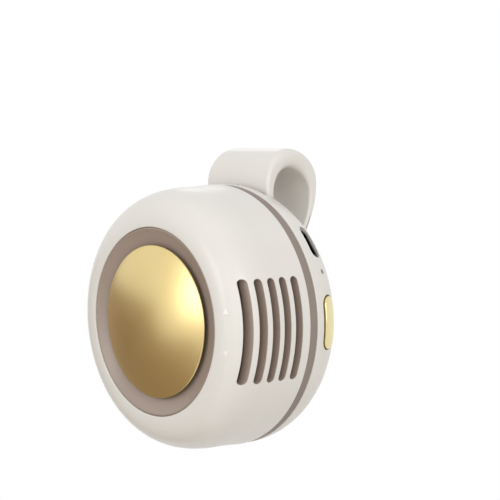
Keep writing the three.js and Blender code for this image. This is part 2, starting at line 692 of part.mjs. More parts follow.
function middleFrame() {
  const plateHole = (radius, x, z) => barY(radius, -CUT, plateBackY + CUT, x, z);
  const plate = disc(seamRadius, PLATE_FRONT_Y, plateBackY);
  const rim = ring(seamRadius - RIM_WIDTH, seamRadius, FIT, SEAM_WIDTH - FIT);
  const spigot = ring(
    spigotRadius - SPIGOT_WALL,
    spigotRadius,
    -SPIGOT_DEPTH,
    SEAM_WIDTH + SPIGOT_DEPTH,
  );
  const bossRoom = FRAME_SCREW_ANGLES.map((a) =>
    barY(bossRadius + RUN, -SPIGOT_DEPTH - CUT, PLATE_FRONT_Y, ...onRing(frameScrewRing, a)),
  );
  const headSpace = FRAME_SCREW_ANGLES.map((a) =>
    barY(SCREW_HEAD_RADIUS + RUN, plateBackY, plateBackY + BOARD_GAP, ...onRing(frameScrewRing, a)),
  );
  const pillars = boardScrews.map((place) =>
    barY(bossRadius, PLATE_FRONT_Y, boardFrontY - FIT, ...place),
  );
  const holes = [
    ...FRAME_SCREW_ANGLES.map((a) => plateHole(holeRadius, ...onRing(frameScrewRing, a))),
    ...MOTOR_SCREW_ANGLES.map((a) => plateHole(holeRadius, ...onRing(MOTOR_SCREW_RING, a))),
    ...boardScrews.map((place) =>
      barY(holeRadius, PLATE_FRONT_Y + BOSS_WALL, boardFrontY + CUT, ...place),
    ),
    plateHole(LEAD_RADIUS + RUN, 0, leadZ),
  ];
  const ringPart = cut(rim.add(spigot), [...bossRoom, ...headSpace]);
  return cut(join([plate, ringPart, ...pillars]), holes);
}

// Clip hinge places

const clipHalf = CLIP_WIDTH / 2;
const legBackY = LEG_FRONT_Y + LEG_THICKNESS;
const pinY = (LEG_FRONT_Y + legBackY) / 2;
const shellTopZ = radiusAtY(rear, pinY);
const pinZ = shellTopZ - PIN_DEPTH;
const insideTop = radiusAtY(rearInside, pinY);
const slotSideZ = Math.sqrt(insideTop ** 2 - clipHalf ** 2); // shell's inside at the leg's edges
const neckTopZ = slotSideZ + RUN;
const knuckleRadius = PIN_RADIUS + RUN + KNUCKLE_WALL;
const earInner = KNUCKLE_HALF + RUN;
const earOuter = earInner + EAR_THICKNESS;
const earTopZ = neckTopZ - 2 * RUN;
const earBottomZ = pinZ - PIN_RADIUS - FIT - EAR_WALL;

// Everything below a depth under the rear outline, out to the seam edge.
function rearFill(depth) {
  return lathe([...inset(rear, depth), [0, SEAM_WIDTH]]);
}

// Electronics places

const portY = boardBackY + FIT + USB_HEIGHT / 2; // button, indicator and socket share this line
const boardRadius = radiusAtY(rearInside, boardBackY) - BOARD_MARGIN;
const boardTopZ = earBottomZ - 2 * RUN;
const buttonReach = BUTTON_LENGTH / 2 + BUTTON_FLANGE + Math.abs(BUTTON_Z);
const insideAtButton = radiusAtY(rearInside, portY + BUTTON_WIDTH / 2);
const flangeOuterX = Math.sqrt(insideAtButton ** 2 - buttonReach ** 2) - RUN;
const flangeInnerX = flangeOuterX - BUTTON_FLANGE_THICKNESS;
const switchFrontX = flangeInnerX - BUTTON_TRAVEL - 3 * RUN;
const shellAtUsb = radiusAtY(rear, portY + USB_HEIGHT / 2);
const usbMouth = Math.sqrt(shellAtUsb ** 2 - (USB_WIDTH / 2) ** 2) - USB_RECESS;
const shellAtPort = radiusAtY(rear, portY);

const usbBar = (margin, low, high) =>
  turned(alongX(pill(USB_HEIGHT + 2 * margin, USB_WIDTH + 2 * margin, portY), low, high), USB_ANGLE);
const pipeBar = (radius, low, high) => turned(barX(radius, low, high, portY, 0), LED_ANGLE);
const buttonBar = (width, length, low, high) => alongX(pill(width, length, portY, BUTTON_Z), low, high);

// Rear shell, with the clip's slot and the ears that hold its pin.
function rearShell() {
  const shell = lathe([...rear, ...[...rearInside].reverse()]);
  const swing = (shellTopZ - pinZ) * Math.sin(CLIP_OPENING);
  const slot = box(
    [-clipHalf - RUN, LEG_FRONT_Y - swing - RUN, slotSideZ - 2 * RUN],
    [clipHalf + RUN, legBackY + RUN, shellTopZ + WALL],
  );
  const far = 2 * BODY_RADIUS;
  const openings = [
    slot,
    buttonBar(BUTTON_WIDTH + 2 * RUN, BUTTON_LENGTH + 2 * RUN, BODY_RADIUS / 2, far),
    usbBar(USB_OPENING_MARGIN, BODY_RADIUS / 2, far),
    pipeBar(PIPE_RADIUS + FIT, BODY_RADIUS / 2, far),
  ];
  const earFrontY = pinY - PIN_RADIUS - FIT - EAR_WALL;
  const ears = [[earInner, earOuter], [-earOuter, -earInner]].map(([low, high]) =>
    box([low, earFrontY, earBottomZ], [high, backY, earTopZ]).intersect(rearFill(WALL / 2)),
  );
  const bore = barX(PIN_RADIUS + FIT, -earOuter - CUT, earOuter + CUT, pinY, pinZ);
  return join([cut(shell, openings), ...ears]).subtract(bore);
}

// Clip: leg, arch, S-bend and tongue, seen from the side in (y, z).

const tongueInnerY = backY + PINCH_GAP;
const tongueOuterY = tongueInnerY + TONGUE_THICKNESS;

function clipSide() {
  const archRadius = (ARCH_REAR_Y - LEG_FRONT_Y) / 2;
  const archY = LEG_FRONT_Y + archRadius;
  const archZ = CLIP_TOP_Z - archRadius;
  const hollowRear = ARCH_REAR_Y - ARCH_BACK_THICKNESS;
  const hollowRadius = (hollowRear - legBackY) / 2;
  const hollowY = legBackY + hollowRadius;
  const hollowZ = CLIP_TOP_Z - CROWN_THICKNESS - hollowRadius;
  const bendZ = BEND_BOTTOM_Z + BEND_PULL;
  const shape = new THREE.Shape();
  shape.moveTo(LEG_FRONT_Y, neckTopZ);
  shape.lineTo(legBackY, neckTopZ);
  shape.absarc(hollowY, hollowZ, hollowRadius, Math.PI, 0, true);
  shape.bezierCurveTo(
    hollowRear, hollowZ - BEND_PULL, tongueInnerY, bendZ, tongueInnerY, BEND_BOTTOM_Z,
  );
  shape.lineTo(tongueInnerY, CLIP_TIP_Z);
  shape.lineTo(tongueOuterY, CLIP_TIP_Z);
  shape.lineTo(tongueOuterY, BEND_BOTTOM_Z);
  shape.bezierCurveTo(tongueOuterY, bendZ, ARCH_REAR_Y, archZ - BEND_PULL, ARCH_REAR_Y, archZ);
  shape.absarc(archY, archZ, archRadius, 0, Math.PI, false);
  return shape;
}

// The clip's outline from behind: straight sides and a full round tip.
function clipFace() {
  const shape = new THREE.Shape();
  const top = CLIP_TOP_Z + CLIP_EDGE;
  shape.moveTo(clipHalf, top);
  shape.lineTo(-clipHalf, top);
  shape.absarc(0, CLIP_TIP_Z + clipHalf, clipHalf, Math.PI, 2 * Math.PI, false);
  return shape;
}

function clip() {
  const bevel = {
    bevelEnabled: true,
    bevelThickness: CLIP_EDGE,
    bevelSize: CLIP_EDGE,
    bevelOffset: -CLIP_EDGE,
    bevelSegments: CLIP_EDGE_STEPS,
    curveSegments: 2 * ARC_STEPS,
  };
  const band = alongX(clipSide(), CLIP_EDGE - clipHalf, clipHalf - CLIP_EDGE, bevel);
  const face = alongY(clipFace(), 0, ARCH_REAR_Y + CLIP_EDGE, { curveSegments: 4 * ARC_STEPS });
  const neck = box([-KNUCKLE_HALF, LEG_FRONT_Y, pinZ], [KNUCKLE_HALF, legBackY, neckTopZ + CLIP_EDGE]);
  const knuckle = barX(knuckleRadius, -KNUCKLE_HALF, KNUCKLE_HALF, pinY, pinZ);
  const springRoom = barX(knuckleRadius + RUN, -SPRING_HALF, SPRING_HALF, pinY, pinZ);
  const bore = barX(PIN_RADIUS + RUN, -clipHalf, clipHalf, pinY, pinZ);
  return cut(join([band.intersect(face), neck, knuckle]), [springRoom, bore]);
}

const clipPin = () => barX(PIN_RADIUS, -earOuter, earOuter, pinY, pinZ);

// Torsion spring round the pin: one leg pushes the neck back, the other rests on the shell's inside.
function clipSpring() {
  const coil = PIN_RADIUS + RUN + SPRING_WIRE + FIT;
  const reach = SPRING_HALF - RUN - SPRING_WIRE;
  const turns = SPRING_TURNS + 0.5;
  const steps = Math.round(turns * SPRING_STEPS);
  const points = [[reach, pinY - coil, pinZ + SPRING_LEG]];
  for (let i = 0; i <= steps; i++) {
    const angle = Math.PI + 2 * Math.PI * turns * (i / steps);
    const x = reach - 2 * reach * (i / steps);
    points.push([x, pinY + coil * Math.cos(angle), pinZ + coil * Math.sin(angle)]);
  }
  const restZ = pinZ + SPRING_LEG / 2;
  const restY = yAtRadius(rearInside, restZ) - SPRING_WIRE - RUN;
  points.push([-reach, Math.min(restY, pinY + coil), restZ]);
  return wire(points, SPRING_WIRE, points.length);
}

// Electronics

function mainBoard() {
  const round = disc(boardRadius, boardFrontY, boardBackY);
  const outside = 2 * BODY_RADIUS;
  const top = box([-outside, boardFrontY - CUT, boardTopZ], [outside, boardBackY + CUT, outside]);
  const notch = box(
    [switchFrontX, boardFrontY - CUT, BUTTON_Z - buttonReach - RUN],
    [outside, boardBackY + CUT, BUTTON_Z + buttonReach + RUN],
  );
  const holes = boardScrews.map((place) => barY(holeRadius, boardFrontY - CUT, boardBackY + CUT, ...place));
  return cut(round, [top, notch, ...holes]);
}

const padLowY = boardBackY + FIT;
const batteryLowY = padLowY + PAD_THICKNESS + FIT;
const batteryShape = (less) =>
  roundedBox(BATTERY_WIDTH - less, BATTERY_HEIGHT - less, BATTERY_CORNER, BATTERY_X);
const batteryPad = () => alongY(batteryShape(BATTERY_CORNER), padLowY, padLowY + PAD_THICKNESS);
const batteryCell = () => alongY(batteryShape(0), batteryLowY, batteryLowY + BATTERY_THICKNESS);

function usbShell() {
  return usbBar(0, usbMouth - USB_LENGTH, usbMouth).subtract(
    usbBar(-USB_SHEET, usbMouth - USB_LENGTH + USB_SHEET, usbMouth + CUT),
  );
}

function usbTongue() {
  const root = usbMouth - USB_LENGTH + USB_SHEET + FIT;
  const base = usbBar(-USB_SHEET - FIT, root, root + CONTACT_BASE);
  const tongue = box(
    [root, portY - USB_SHEET, -CONTACT_WIDTH / 2],
    [root + CONTACT_LENGTH, portY + USB_SHEET, CONTACT_WIDTH / 2],
  );
  return base.add(turned(tongue, USB_ANGLE));
}

// Side switch on the board, and its plunger under the button.
function tactSwitch() {
  const { x, y, z } = SWITCH_SIZE;
  const low = boardBackY + FIT;
  const body = box([switchFrontX - x, low, BUTTON_Z - z / 2], [switchFrontX, low + y, BUTTON_Z + z / 2]);
  const boreEnd = plungerRootX - BUTTON_TRAVEL - RUN;
  const bore = barX(PLUNGER_RADIUS + RUN, boreEnd, switchFrontX + CUT, portY, BUTTON_Z);
  return body.subtract(bore);
}

const plungerRootX = switchFrontX - 2 * RUN;
const switchPlunger = () => barX(PLUNGER_RADIUS, plungerRootX, flangeInnerX - FIT, portY, BUTTON_Z);

function powerButton() {
  const cap = buttonBar(BUTTON_WIDTH, BUTTON_LENGTH, flangeInnerX, 2 * BODY_RADIUS);
  const flange = buttonBar(BUTTON_WIDTH, BUTTON_LENGTH + 2 * BUTTON_FLANGE, flangeInnerX, flangeOuterX);
  return cap.intersect(rearFill(-BUTTON_RISE)).add(flange);
}

const ledFace = boardRadius - FIT;

function indicatorLed() {
  const { x, y, z } = LED_SIZE;
  const low = boardBackY + FIT;
  return turned(box([ledFace - x, low, -z / 2], [ledFace, low + y, z / 2]), LED_ANGLE);
}

const lightPipe = () => pipeBar(PIPE_RADIUS, ledFace + FIT, shellAtPort - FIT);

// Plugs and the leads between them

const motorPlugZ = leadZ - 2 * PLUG_SIZE.z;
const batteryPlugX = batteryEdges.left + PLUG_SIZE.x;
const batteryPlugZ = batteryEdges.bottom - 1.5 * PLUG_SIZE.z;
const leadSetBack = LEAD_RADIUS + FIT;

function motorConnector() {
  const { x, y, z } = PLUG_SIZE;
  const high = boardFrontY - FIT;
  return box([-x / 2, high - y, motorPlugZ - z / 2], [x / 2, high, motorPlugZ + z / 2]);
}

function motorLeads() {
  const plugTopZ = motorPlugZ + PLUG_SIZE.z / 2 + FIT;
  const y = boardFrontY - FIT - PLUG_SIZE.y / 2;
  const points = [
    [0, statorSpan[1] + FIT + COIL_WALL + FIT, leadZ],
    [0, baseBackY, leadZ],
    [0, plateBackY, leadZ],
    [0, y, leadZ - leadSetBack],
    [0, y, plugTopZ],
  ];
  return wire(points, LEAD_RADIUS, LEAD_STEPS);
}

function batteryConnector() {
  const { x, y, z } = PLUG_SIZE;
  const low = boardBackY + FIT;
  return box(
    [batteryPlugX - x / 2, low, batteryPlugZ - z / 2],
    [batteryPlugX + x / 2, low + y, batteryPlugZ + z / 2],
  );
}

function batteryLeads() {
  const middleY = batteryLowY + BATTERY_THICKNESS / 2;
  const y = boardBackY + FIT + PLUG_SIZE.y + FIT;
  const points = [
    [batteryPlugX, middleY, batteryEdges.bottom - FIT],
    [batteryPlugX, middleY, batteryEdges.bottom - 2 * leadSetBack],
    [batteryPlugX, (y + middleY) / 2 + leadSetBack, batteryPlugZ],
    [batteryPlugX, y, batteryPlugZ],
  ];
  return wire(points, LEAD_RADIUS, LEAD_STEPS);
}

// Materials: colour, roughness, metalness

const cream = ["#e4dfd7", 0.32, 0];
const taupe = ["#8f8177", 0.6, 0];
const gold = ["#d9b765", 0.24, 1];
const steel = ["#b9bbbd", 0.35, 1];
const darkPlastic = ["#2b2b2d", 0.55, 0];
const copper = ["#b56a3a", 0.4, 1];
const boardGreen = ["#1f5a3c", 0.5, 0];
const foil = ["#c4c7c9", 0.4, 0.6];
const foam = ["#3a3a3c", 0.9, 0];
const clear = ["#eef2f4", 0.15, 0];
const redWire = ["#a8322b", 0.5, 0];

function piece(name, solid, [color, roughness, metalness]) {
  const { vertProperties, triVerts } = solid.getMesh();
  const geometry = new THREE.BufferGeometry();
  geometry.setAttribute("position", new THREE.BufferAttribute(new Float32Array(vertProperties), 3));
  geometry.setIndex(new THREE.BufferAttribute(new Uint32Array(triVerts), 1));
  const material = new THREE.MeshStandardMaterial({ color, roughness, metalness });
  const mesh = new THREE.Mesh(merge(geometry, MERGE_DISTANCE), material);
  mesh.name = name;
  return mesh;
}

// One screw for each place, numbered from 1.
const screws = (name, places, seatY, length) =>
  places.map(([x, z], i) => piece(`${name}_${i + 1}`, screw(x, z, seatY, length), steel));

const fan = new THREE.Group();
fan.add(
  piece("front_shell", frontShell(), cream),
  piece("grille_insert_right", grilleInsert(1), taupe),
  piece("grille_insert_left", grilleInsert(-1), taupe),
  piece("nozzle", nozzle(), taupe),
  ...screws(
    "nozzle_screw",
    NOZZLE_SCREW_ANGLES.map((a) => onRing(nozzleScrewRing, a)),
    armBackY,
    ARM_THICKNESS + SCREW_BITE / 3,
  ),
  piece("dome_cap", domeCap(), gold),
  piece("middle_frame", middleFrame(), taupe),
  ...screws(
    "frame_screw",
    FRAME_SCREW_ANGLES.map((a) => onRing(frameScrewRing, a)),
    plateBackY,
    PLATE_THICKNESS + SCREW_BITE / 2,
  ),
  piece("motor_base", motorBase(), steel),
  piece("bearing_front", bearing(tubeFrontY + FIT), steel),
  piece("bearing_rear", bearing(clipRingY - 2 * FIT - BEARING_WIDTH), steel),
  piece("stator_core", statorCore(), steel),
  piece("stator_windings", statorWindings(), copper),
  piece("magnet_ring", magnetRing(), darkPlastic),
  piece("rotor_bell", rotorBell(), steel),
  piece("motor_shaft", motorShaft(), steel),
  piece("shaft_retaining_ring", retainingRing(), steel),
  piece("impeller", impeller(), darkPlastic),
  // From behind the plate, flush with the front of the motor's base
  ...screws(
    "motor_screw",
    MOTOR_SCREW_ANGLES.map((a) => onRing(MOTOR_SCREW_RING, a)),
    plateBackY,
    plateBackY - baseFrontY,
  ),
  piece("rear_shell", rearShell(), cream),
  piece("main_board", mainBoard(), boardGreen),
  ...screws("board_screw", boardScrews, boardBackY, BOARD_THICKNESS + BOARD_GAP / 2),
  piece("battery_pad", batteryPad(), foam),
  piece("battery_cell", batteryCell(), foil),
  piece("battery_connector", batteryConnector(), darkPlastic),
  piece("battery_leads", batteryLeads(), redWire),
  piece("motor_connector", motorConnector(), darkPlastic),
  piece("motor_leads", motorLeads(), redWire),
  piece("usb_shell", usbShell(), steel),
  piece("usb_tongue", usbTongue(), darkPlastic),
  piece("tact_switch", tactSwitch(), darkPlastic),
  piece("switch_plunger", switchPlunger(), darkPlastic),
  piece("power_button", powerButton(), gold),
  piece("indicator_led", indicatorLed(), clear),
  piece("light_pipe", lightPipe(), clear),
  piece("clip", clip(), cream),
  piece("clip_pin", clipPin(), steel),
  piece("clip_spring", clipSpring(), steel),
);

fan.position.y = -tongueInnerY;

const part = new THREE.Group();
part.add(fan);
export default part;
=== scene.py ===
"""Clip-on fan: the finished mouldings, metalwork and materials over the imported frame.

Pieces are drawn in millimetres, with y = 0 at the seam edge of the front shell and the fan's axis along Y,
and the last step of each one scales it to metres and moves it into the frame.
"""
import math

import bmesh
import bpy
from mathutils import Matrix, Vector


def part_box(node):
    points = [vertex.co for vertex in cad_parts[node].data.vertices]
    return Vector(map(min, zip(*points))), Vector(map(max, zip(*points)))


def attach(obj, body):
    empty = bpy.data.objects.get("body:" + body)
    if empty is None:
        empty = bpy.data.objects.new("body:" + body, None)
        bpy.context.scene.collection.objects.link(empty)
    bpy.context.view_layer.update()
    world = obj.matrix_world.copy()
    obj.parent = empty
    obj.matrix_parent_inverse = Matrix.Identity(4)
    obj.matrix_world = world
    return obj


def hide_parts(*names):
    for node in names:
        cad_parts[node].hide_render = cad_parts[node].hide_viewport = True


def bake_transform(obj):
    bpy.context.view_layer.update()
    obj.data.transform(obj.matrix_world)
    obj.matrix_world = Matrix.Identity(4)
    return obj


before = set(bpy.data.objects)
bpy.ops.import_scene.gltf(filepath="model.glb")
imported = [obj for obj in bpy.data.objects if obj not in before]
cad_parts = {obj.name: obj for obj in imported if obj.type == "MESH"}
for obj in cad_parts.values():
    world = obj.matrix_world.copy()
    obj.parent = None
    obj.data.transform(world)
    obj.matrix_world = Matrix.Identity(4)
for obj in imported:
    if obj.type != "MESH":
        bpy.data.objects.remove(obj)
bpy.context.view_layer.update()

MM = 0.001
GRIP_Y = 16.9  # grip face of the clip's tongue, which is the frame's origin
TINY = 1e-4

# Clearances
FIT = 0.15  # between fixed pieces that seat in each other
RUN = 0.35  # around everything that turns or slides

# Shells
BODY_RADIUS = 35.0
WAIST_RADIUS = 34.5
WALL = 1.8
FRONT_DEPTH = 22.8
WAIST_Y = -7.2
FRONT_CURVE = 2.55  # power of the front's rounded outline: 2 is an ellipse
OUTLET_RADIUS = 24.5
SEAM_WIDTH = 2.66
REAR_DEPTH = 13.74
BACK_Y = SEAM_WIDTH + REAR_DEPTH
REAR_FLAT_RADIUS = 19.0
REAR_CURVE = 2.2
SHELL_EDGE = 0.2  # rounding of the shells' rims

# Slots and grille
SLOT_COUNT = 5
SLOT_WIDTH = 2.35
SLOT_HEIGHT = 26.0
SLOT_PITCH = 3.75
LAST_SLOT_Y = -3.65
SLOT_LIP = 0.1  # rounding of the slots' edges
SLEEVE_WALL = 0.35
SLEEVE_RECESS = 0.2
SLEEVE_EDGE = 0.08  # what the sleeve's wall draws down to at its mouth
SLEEVE_TAPER = 1.4
SLEEVE_GAP = 0.03
SHEET_TOP = WALL + FIT
SHEET_BOTTOM = SHEET_TOP + 0.9
SHEET_MARGIN = 2.2  # sheet past the ends of the slots
SHEET_REAR_Y = -1.4
SHEET_STEPS = 36

# Triangle marks on the front edge
MARK_RADIUS = 28.4  # from the fan's axis
MARK_ANGLE = 10.68
MARK_WIDTH = 1.8
MARK_HEIGHT = 1.55
MARK_RISE = 0.15
MARK_ROOT = 0.4  # depth below the shell's surface

# Outlet
NOZZLE_SET_BACK = 0.25
NOZZLE_Y = -FRONT_DEPTH + NOZZLE_SET_BACK
NOZZLE_LAND = 0.5
NOZZLE_GAP = 0.03
NOZZLE_FLANGE = 2.6  # front edge to the back of the flange
DISH_DEPTH = 3.05
DISH_SAG = 1.9
DISH_PULL = 6.5
THROAT_RADIUS = 14.5
THROAT_Y = NOZZLE_Y + DISH_DEPTH
DUCT_RADIUS = 19.25
DUCT_WALL = 1.4
DUCT_BACK_Y = -3.0
HUB_RADIUS = 10.95
HUB_TAPER = 3.2
HUB_REAR_Y = -12.2
VANE_COUNT = 7
VANE_ROOTS = 1.5  # what the vane runs into the hub and the duct, both ends together
VANE_THICKNESS = 1.2
VANE_EDGE = 0.5
VANE_TURN = 0.5  # radians about the vane's own length
DOME_RADIUS = 19.8
DOME_RISE = 3.9
DOME_SHEET = 0.6
DOME_SET_BACK = 0.65
DOME_RIM_Y = -FRONT_DEPTH + DOME_SET_BACK
DOME_RIM_ANGLE = 75  # how far the rim rolls round to each side
STUD_RADIUS = 2.6  # dome's stud in the hub
STUD_LENGTH = 6.0

# Seam ring with its plate
SEAM_RADIUS = 34.75
SEAM_EDGE = 0.1
SEAM_EDGE_STEPS = 3
PLATE_FRONT_Y = 0.4
PLATE_BACK_Y = 2.2
SPIGOT_INNER = 31.15
SPIGOT_OUTER = 32.55
SPIGOT_DEPTH = 1.0
SCREW_HOLE = 1.2
HEAD_HOLE = 1.95
HEAD_SEAT = 0.02  # room for a head starts this far above the plate
LEAD_HOLE = 1.05
LEAD_Z = -5.28  # motor's leads below the axis

# Clip
CLIP_HALF = 12.3
CLIP_TOP_Z = 44.55
CLIP_TIP_Z = -30.0
LEG_FRONT_Y = 6.7
LEG_BACK_Y = 9.2
ARCH_REAR_Y = 25.4
ARCH_BACK = 2.7
CROWN = 5.2
TONGUE = 2.7
BEND_BOTTOM_Z = 12.5
BEND_PULL = 10.0
CLIP_EDGE = 0.9
CLIP_EDGE_STEPS = 6
CLIP_SHARP = 50  # degrees: edges of the band sharper than this are rounded
CROWN_ROUND = 2.55  # rounding of the arch's edges at its top
TIP_FLAT = 0.05  # what is left flat of the tongue's round tip, on each side
TIP_STEPS = 28
LEG_SWING = 1.18  # how far the leg goes forward in its notch
FOOT_Z = 29.6  # where the leg's full width ends, inside the shell
NECK_OVERLAP = 2.0  # neck above the foot, inside the leg
NOTCH_BOTTOM_Z = 29.0
NOTCH_TOP_Z = 40.0
NOTCH_EDGE = 0.8
NOTCH_STEPS = 4

# Clip hinge
PIN_Y = (LEG_FRONT_Y + LEG_BACK_Y) / 2
PIN_Z = 27.17
PIN_RADIUS = 0.9
KNUCKLE_HALF = 6.8
KNUCKLE_RADIUS = 2.45
EAR_THICKNESS = 2.0
EAR_REACH = 2.35  # from the pin's axis, to the front and down
EAR_BACK = 3.3
EAR_TOP = 1.6
SPRING_HALF = 3.0  # half of the spring's room in the knuckle
SPRING_WIRE = 0.3  # radius
SPRING_TURNS = 4.5
SPRING_STEPS = 24  # corners for each turn
SPRING_LEG = 3.6

# Side controls
PORT_Y = 7.65
BUTTON_Z = 0.5
BUTTON_WIDTH = 4.5
BUTTON_LENGTH = 13.5
BUTTON_RISE = 0.55
BUTTON_DEPTH = 3.0  # root below the shell's surface
BUTTON_EDGE = 0.45
BUTTON_INSETS = (0.8, 1.2, 1.6, 2.0, 2.2)  # rings of its top, in from its outline
BUTTON_LIP = 0.15
USB_ANGLE = 37.6
USB_WIDTH = 8.9
USB_HEIGHT = 3.2
USB_LENGTH = 7.3
USB_SHEET = 0.3
USB_EDGE = 0.1
USB_RECESS = 0.4  # mouth below the shell's surface
USB_LIP = 0.12
TONGUE_SET_BACK = 1.8  # tongue's face behind the socket's mouth
TONGUE_WIDTH = 5.6
TONGUE_THICKNESS = 0.6
TONGUE_EDGE = 0.18
PAD_COUNT = 8
PAD_PITCH = 0.6
PAD_WIDTH = 0.34
PAD_LENGTH = 3.4
PAD_RISE = 0.04
PAD_EDGE = 0.03
LED_ANGLE = 23.0
PINHOLE_SIZE = 1.3
PINHOLE_LIP = 0.06
WINDOW_SIZE = 1.0
WINDOW_DEPTH = 4.3  # inner end of the indicator's window
WINDOW_FACE = ((0.0, 0.6), (0.12, 0.5), (0.3, 0.45))  # rings of its face: inset, and depth below the shell
OPENING_DEPTH = 4.0  # how deep the tools for the side openings reach

# Fineness
TURN_STEPS = 144
CURVE_STEPS = 40
PILL_STEPS = 24
LIP_STEPS = 5
LIP_ANGLE = 80  # degrees: where an opening's rounded lip meets the shell
BAR_STEPS = 40
SOFT_EDGE = 0.3  # rounding of bars and blocks inside


# Working in edit mode


def select_only(piece):
    bpy.ops.object.select_all(action="DESELECT")
    piece.select_set(True)
    bpy.context.view_layer.objects.active = piece


def start_edit(piece):
    select_only(piece)
    bpy.ops.object.mode_set(mode="EDIT")


def end_edit():
    bpy.ops.object.mode_set(mode="OBJECT")


def pick(piece, kind, test):
    """Selects the corners, edges or faces (VERT, EDGE, FACE) that pass a test."""
    bpy.ops.mesh.select_mode(type=kind)
    bpy.ops.mesh.select_all(action="DESELECT")
    shape = bmesh.from_edit_mesh(piece.data)
    for part in {"VERT": shape.verts, "EDGE": shape.edges, "FACE": shape.faces}[kind]:
        if test(part):
            part.select_set(True)
    shape.select_flush_mode()
    bmesh.update_edit_mesh(piece.data)


def shift_picked(piece, place):
    """Moves each selected corner to the place that a function gives for it."""
    shape = bmesh.from_edit_mesh(piece.data)
    for corner in shape.verts:
        if corner.select:
            corner.co = place(corner.co)
    bmesh.update_edit_mesh(piece.data)


def draw(name, points):
    """A line of corners, extruded from one corner, left open in edit mode."""
    bpy.ops.object.select_all(action="DESELECT")
    bpy.ops.mesh.primitive_plane_add(size=1)
    piece = bpy.context.object
    piece.name = name
    bpy.ops.object.mode_set(mode="EDIT")
    bpy.ops.mesh.select_mode(type="VERT")
    bpy.ops.mesh.select_all(action="SELECT")
    bpy.ops.mesh.merge(type="CENTER")
    bpy.ops.transform.translate(value=points[0])
    for before, after in zip(points, points[1:]):
        step = Vector(after) - Vector(before)
        bpy.ops.mesh.extrude_region_move(TRANSFORM_OT_translate={"value": step})
    return piece


def close_up():
    """Joins the corners that lie on each other, drops stray edges, and turns all faces outwards."""
    bpy.ops.mesh.select_all(action="SELECT")
    bpy.ops.mesh.remove_doubles(threshold=TINY)
    bpy.ops.mesh.delete_loose()
    bpy.ops.mesh.select_all(action="SELECT")
    bpy.ops.mesh.normals_make_consistent(inside=False)


def turn(name, profile, steps=TURN_STEPS):
    """A closed profile of (radius, y) corners spun about the fan's axis."""
    piece = draw(name, [(radius, y, 0) for radius, y in profile + profile[:1]])
    bpy.ops.mesh.select_all(action="SELECT")
    bpy.ops.mesh.remove_doubles(threshold=TINY)
    bpy.ops.mesh.select_all(action="SELECT")
    bpy.ops.mesh.spin(steps=steps, angle=2 * math.pi, center=(0, 0, 0), axis=(0, 1, 0))
    close_up()
    end_edit()
    return piece


def use_modifier(piece, kind, **settings):
    select_only(piece)
    modifier = piece.modifiers.new(kind.lower(), kind)
    for name, value in settings.items():
        setattr(modifier, name, value)
    bpy.ops.object.modifier_apply(modifier=modifier.name)


def carve(piece, tool, operation="DIFFERENCE"):
    """Cuts a piece with a tool, and puts the tool away."""
    use_modifier(piece, "BOOLEAN", object=tool, operation=operation, solver="EXACT")
    bpy.data.objects.remove(tool)


def turn_object(piece, degrees):
    """Turns a piece about the fan's axis, from +X up towards +Z."""
    select_only(piece)
    piece.rotation_euler = (0, -math.radians(degrees), 0)
    bpy.ops.object.transform_apply(location=False, rotation=True, scale=False)


def join(pieces):
    bpy.ops.object.select_all(action="DESELECT")
    for piece in pieces:
        piece.select_set(True)
    bpy.context.view_layer.objects.active = pieces[0]
    bpy.ops.object.join()
    return pieces[0]


# Outlines, as (radius, y) corners


def arc(radius, y, size, start, end, steps=LIP_STEPS):
    """A part of a circle about (radius, y), between two angles in degrees from the outward direction."""
    angles = [math.radians(start + (end - start) * i / steps) for i in range(steps + 1)]
    return [(radius + size * math.cos(a), y + size * math.sin(a)) for a in angles]


def front_outline():
    corners = [(BODY_RADIUS, 0.0)]
    for i in range(CURVE_STEPS + 1):
        turned = math.pi / 2 * (1 - i / CURVE_STEPS)
        across = math.sin(turned) ** (2 / FRONT_CURVE)
        along = max(math.cos(turned), 0) ** (2 / FRONT_CURVE)
        radius = OUTLET_RADIUS + (WAIST_RADIUS - OUTLET_RADIUS) * across
        corners.append((radius, WAIST_Y - (FRONT_DEPTH + WAIST_Y) * along))
    return corners


def rear_outline():
    corners = []
    for i in range(CURVE_STEPS + 1):
        turned = math.pi / 2 * (1 - i / CURVE_STEPS)
        across = math.sin(turned) ** (2 / REAR_CURVE)
        along = max(math.cos(turned), 0) ** (2 / REAR_CURVE)
        radius = REAR_FLAT_RADIUS + (BODY_RADIUS - REAR_FLAT_RADIUS) * across
        corners.append((radius, SEAM_WIDTH + REAR_DEPTH * along))
    return corners


def sunk(outline, depth):
    """The same outline, a depth below its surface."""
    moved = []
    for i, (radius, y) in enumerate(outline):
        before = outline[max(i - 1, 0)]
        after = outline[min(i + 1, len(outline) - 1)]
        run = Vector((after[0] - before[0], after[1] - before[1])).normalized()
        side = 1 if y <= 0 else -1
        moved.append((radius + side * run.y * depth, y - side * run.x * depth))
    return moved


def radius_at(outline, y):
    """The outline's radius at a place along the axis."""
    for (r0, y0), (r1, y1) in zip(outline, outline[1:]):
        if (y0 - y) * (y1 - y) <= 0 and y0 != y1:
            return r0 + (r1 - r0) * (y - y0) / (y1 - y0)
    return outline[-1][0]


FRONT = front_outline()
REAR = rear_outline()


def skin(outline):
    """How far out along X a shell's surface lies, over a place (y, z)."""

    def out(y, z):
        return math.sqrt(max(radius_at(outline, y) ** 2 - z * z, 1.0))

    return out


# Pills: round-ended outlines along Z, which follow a shell's surface


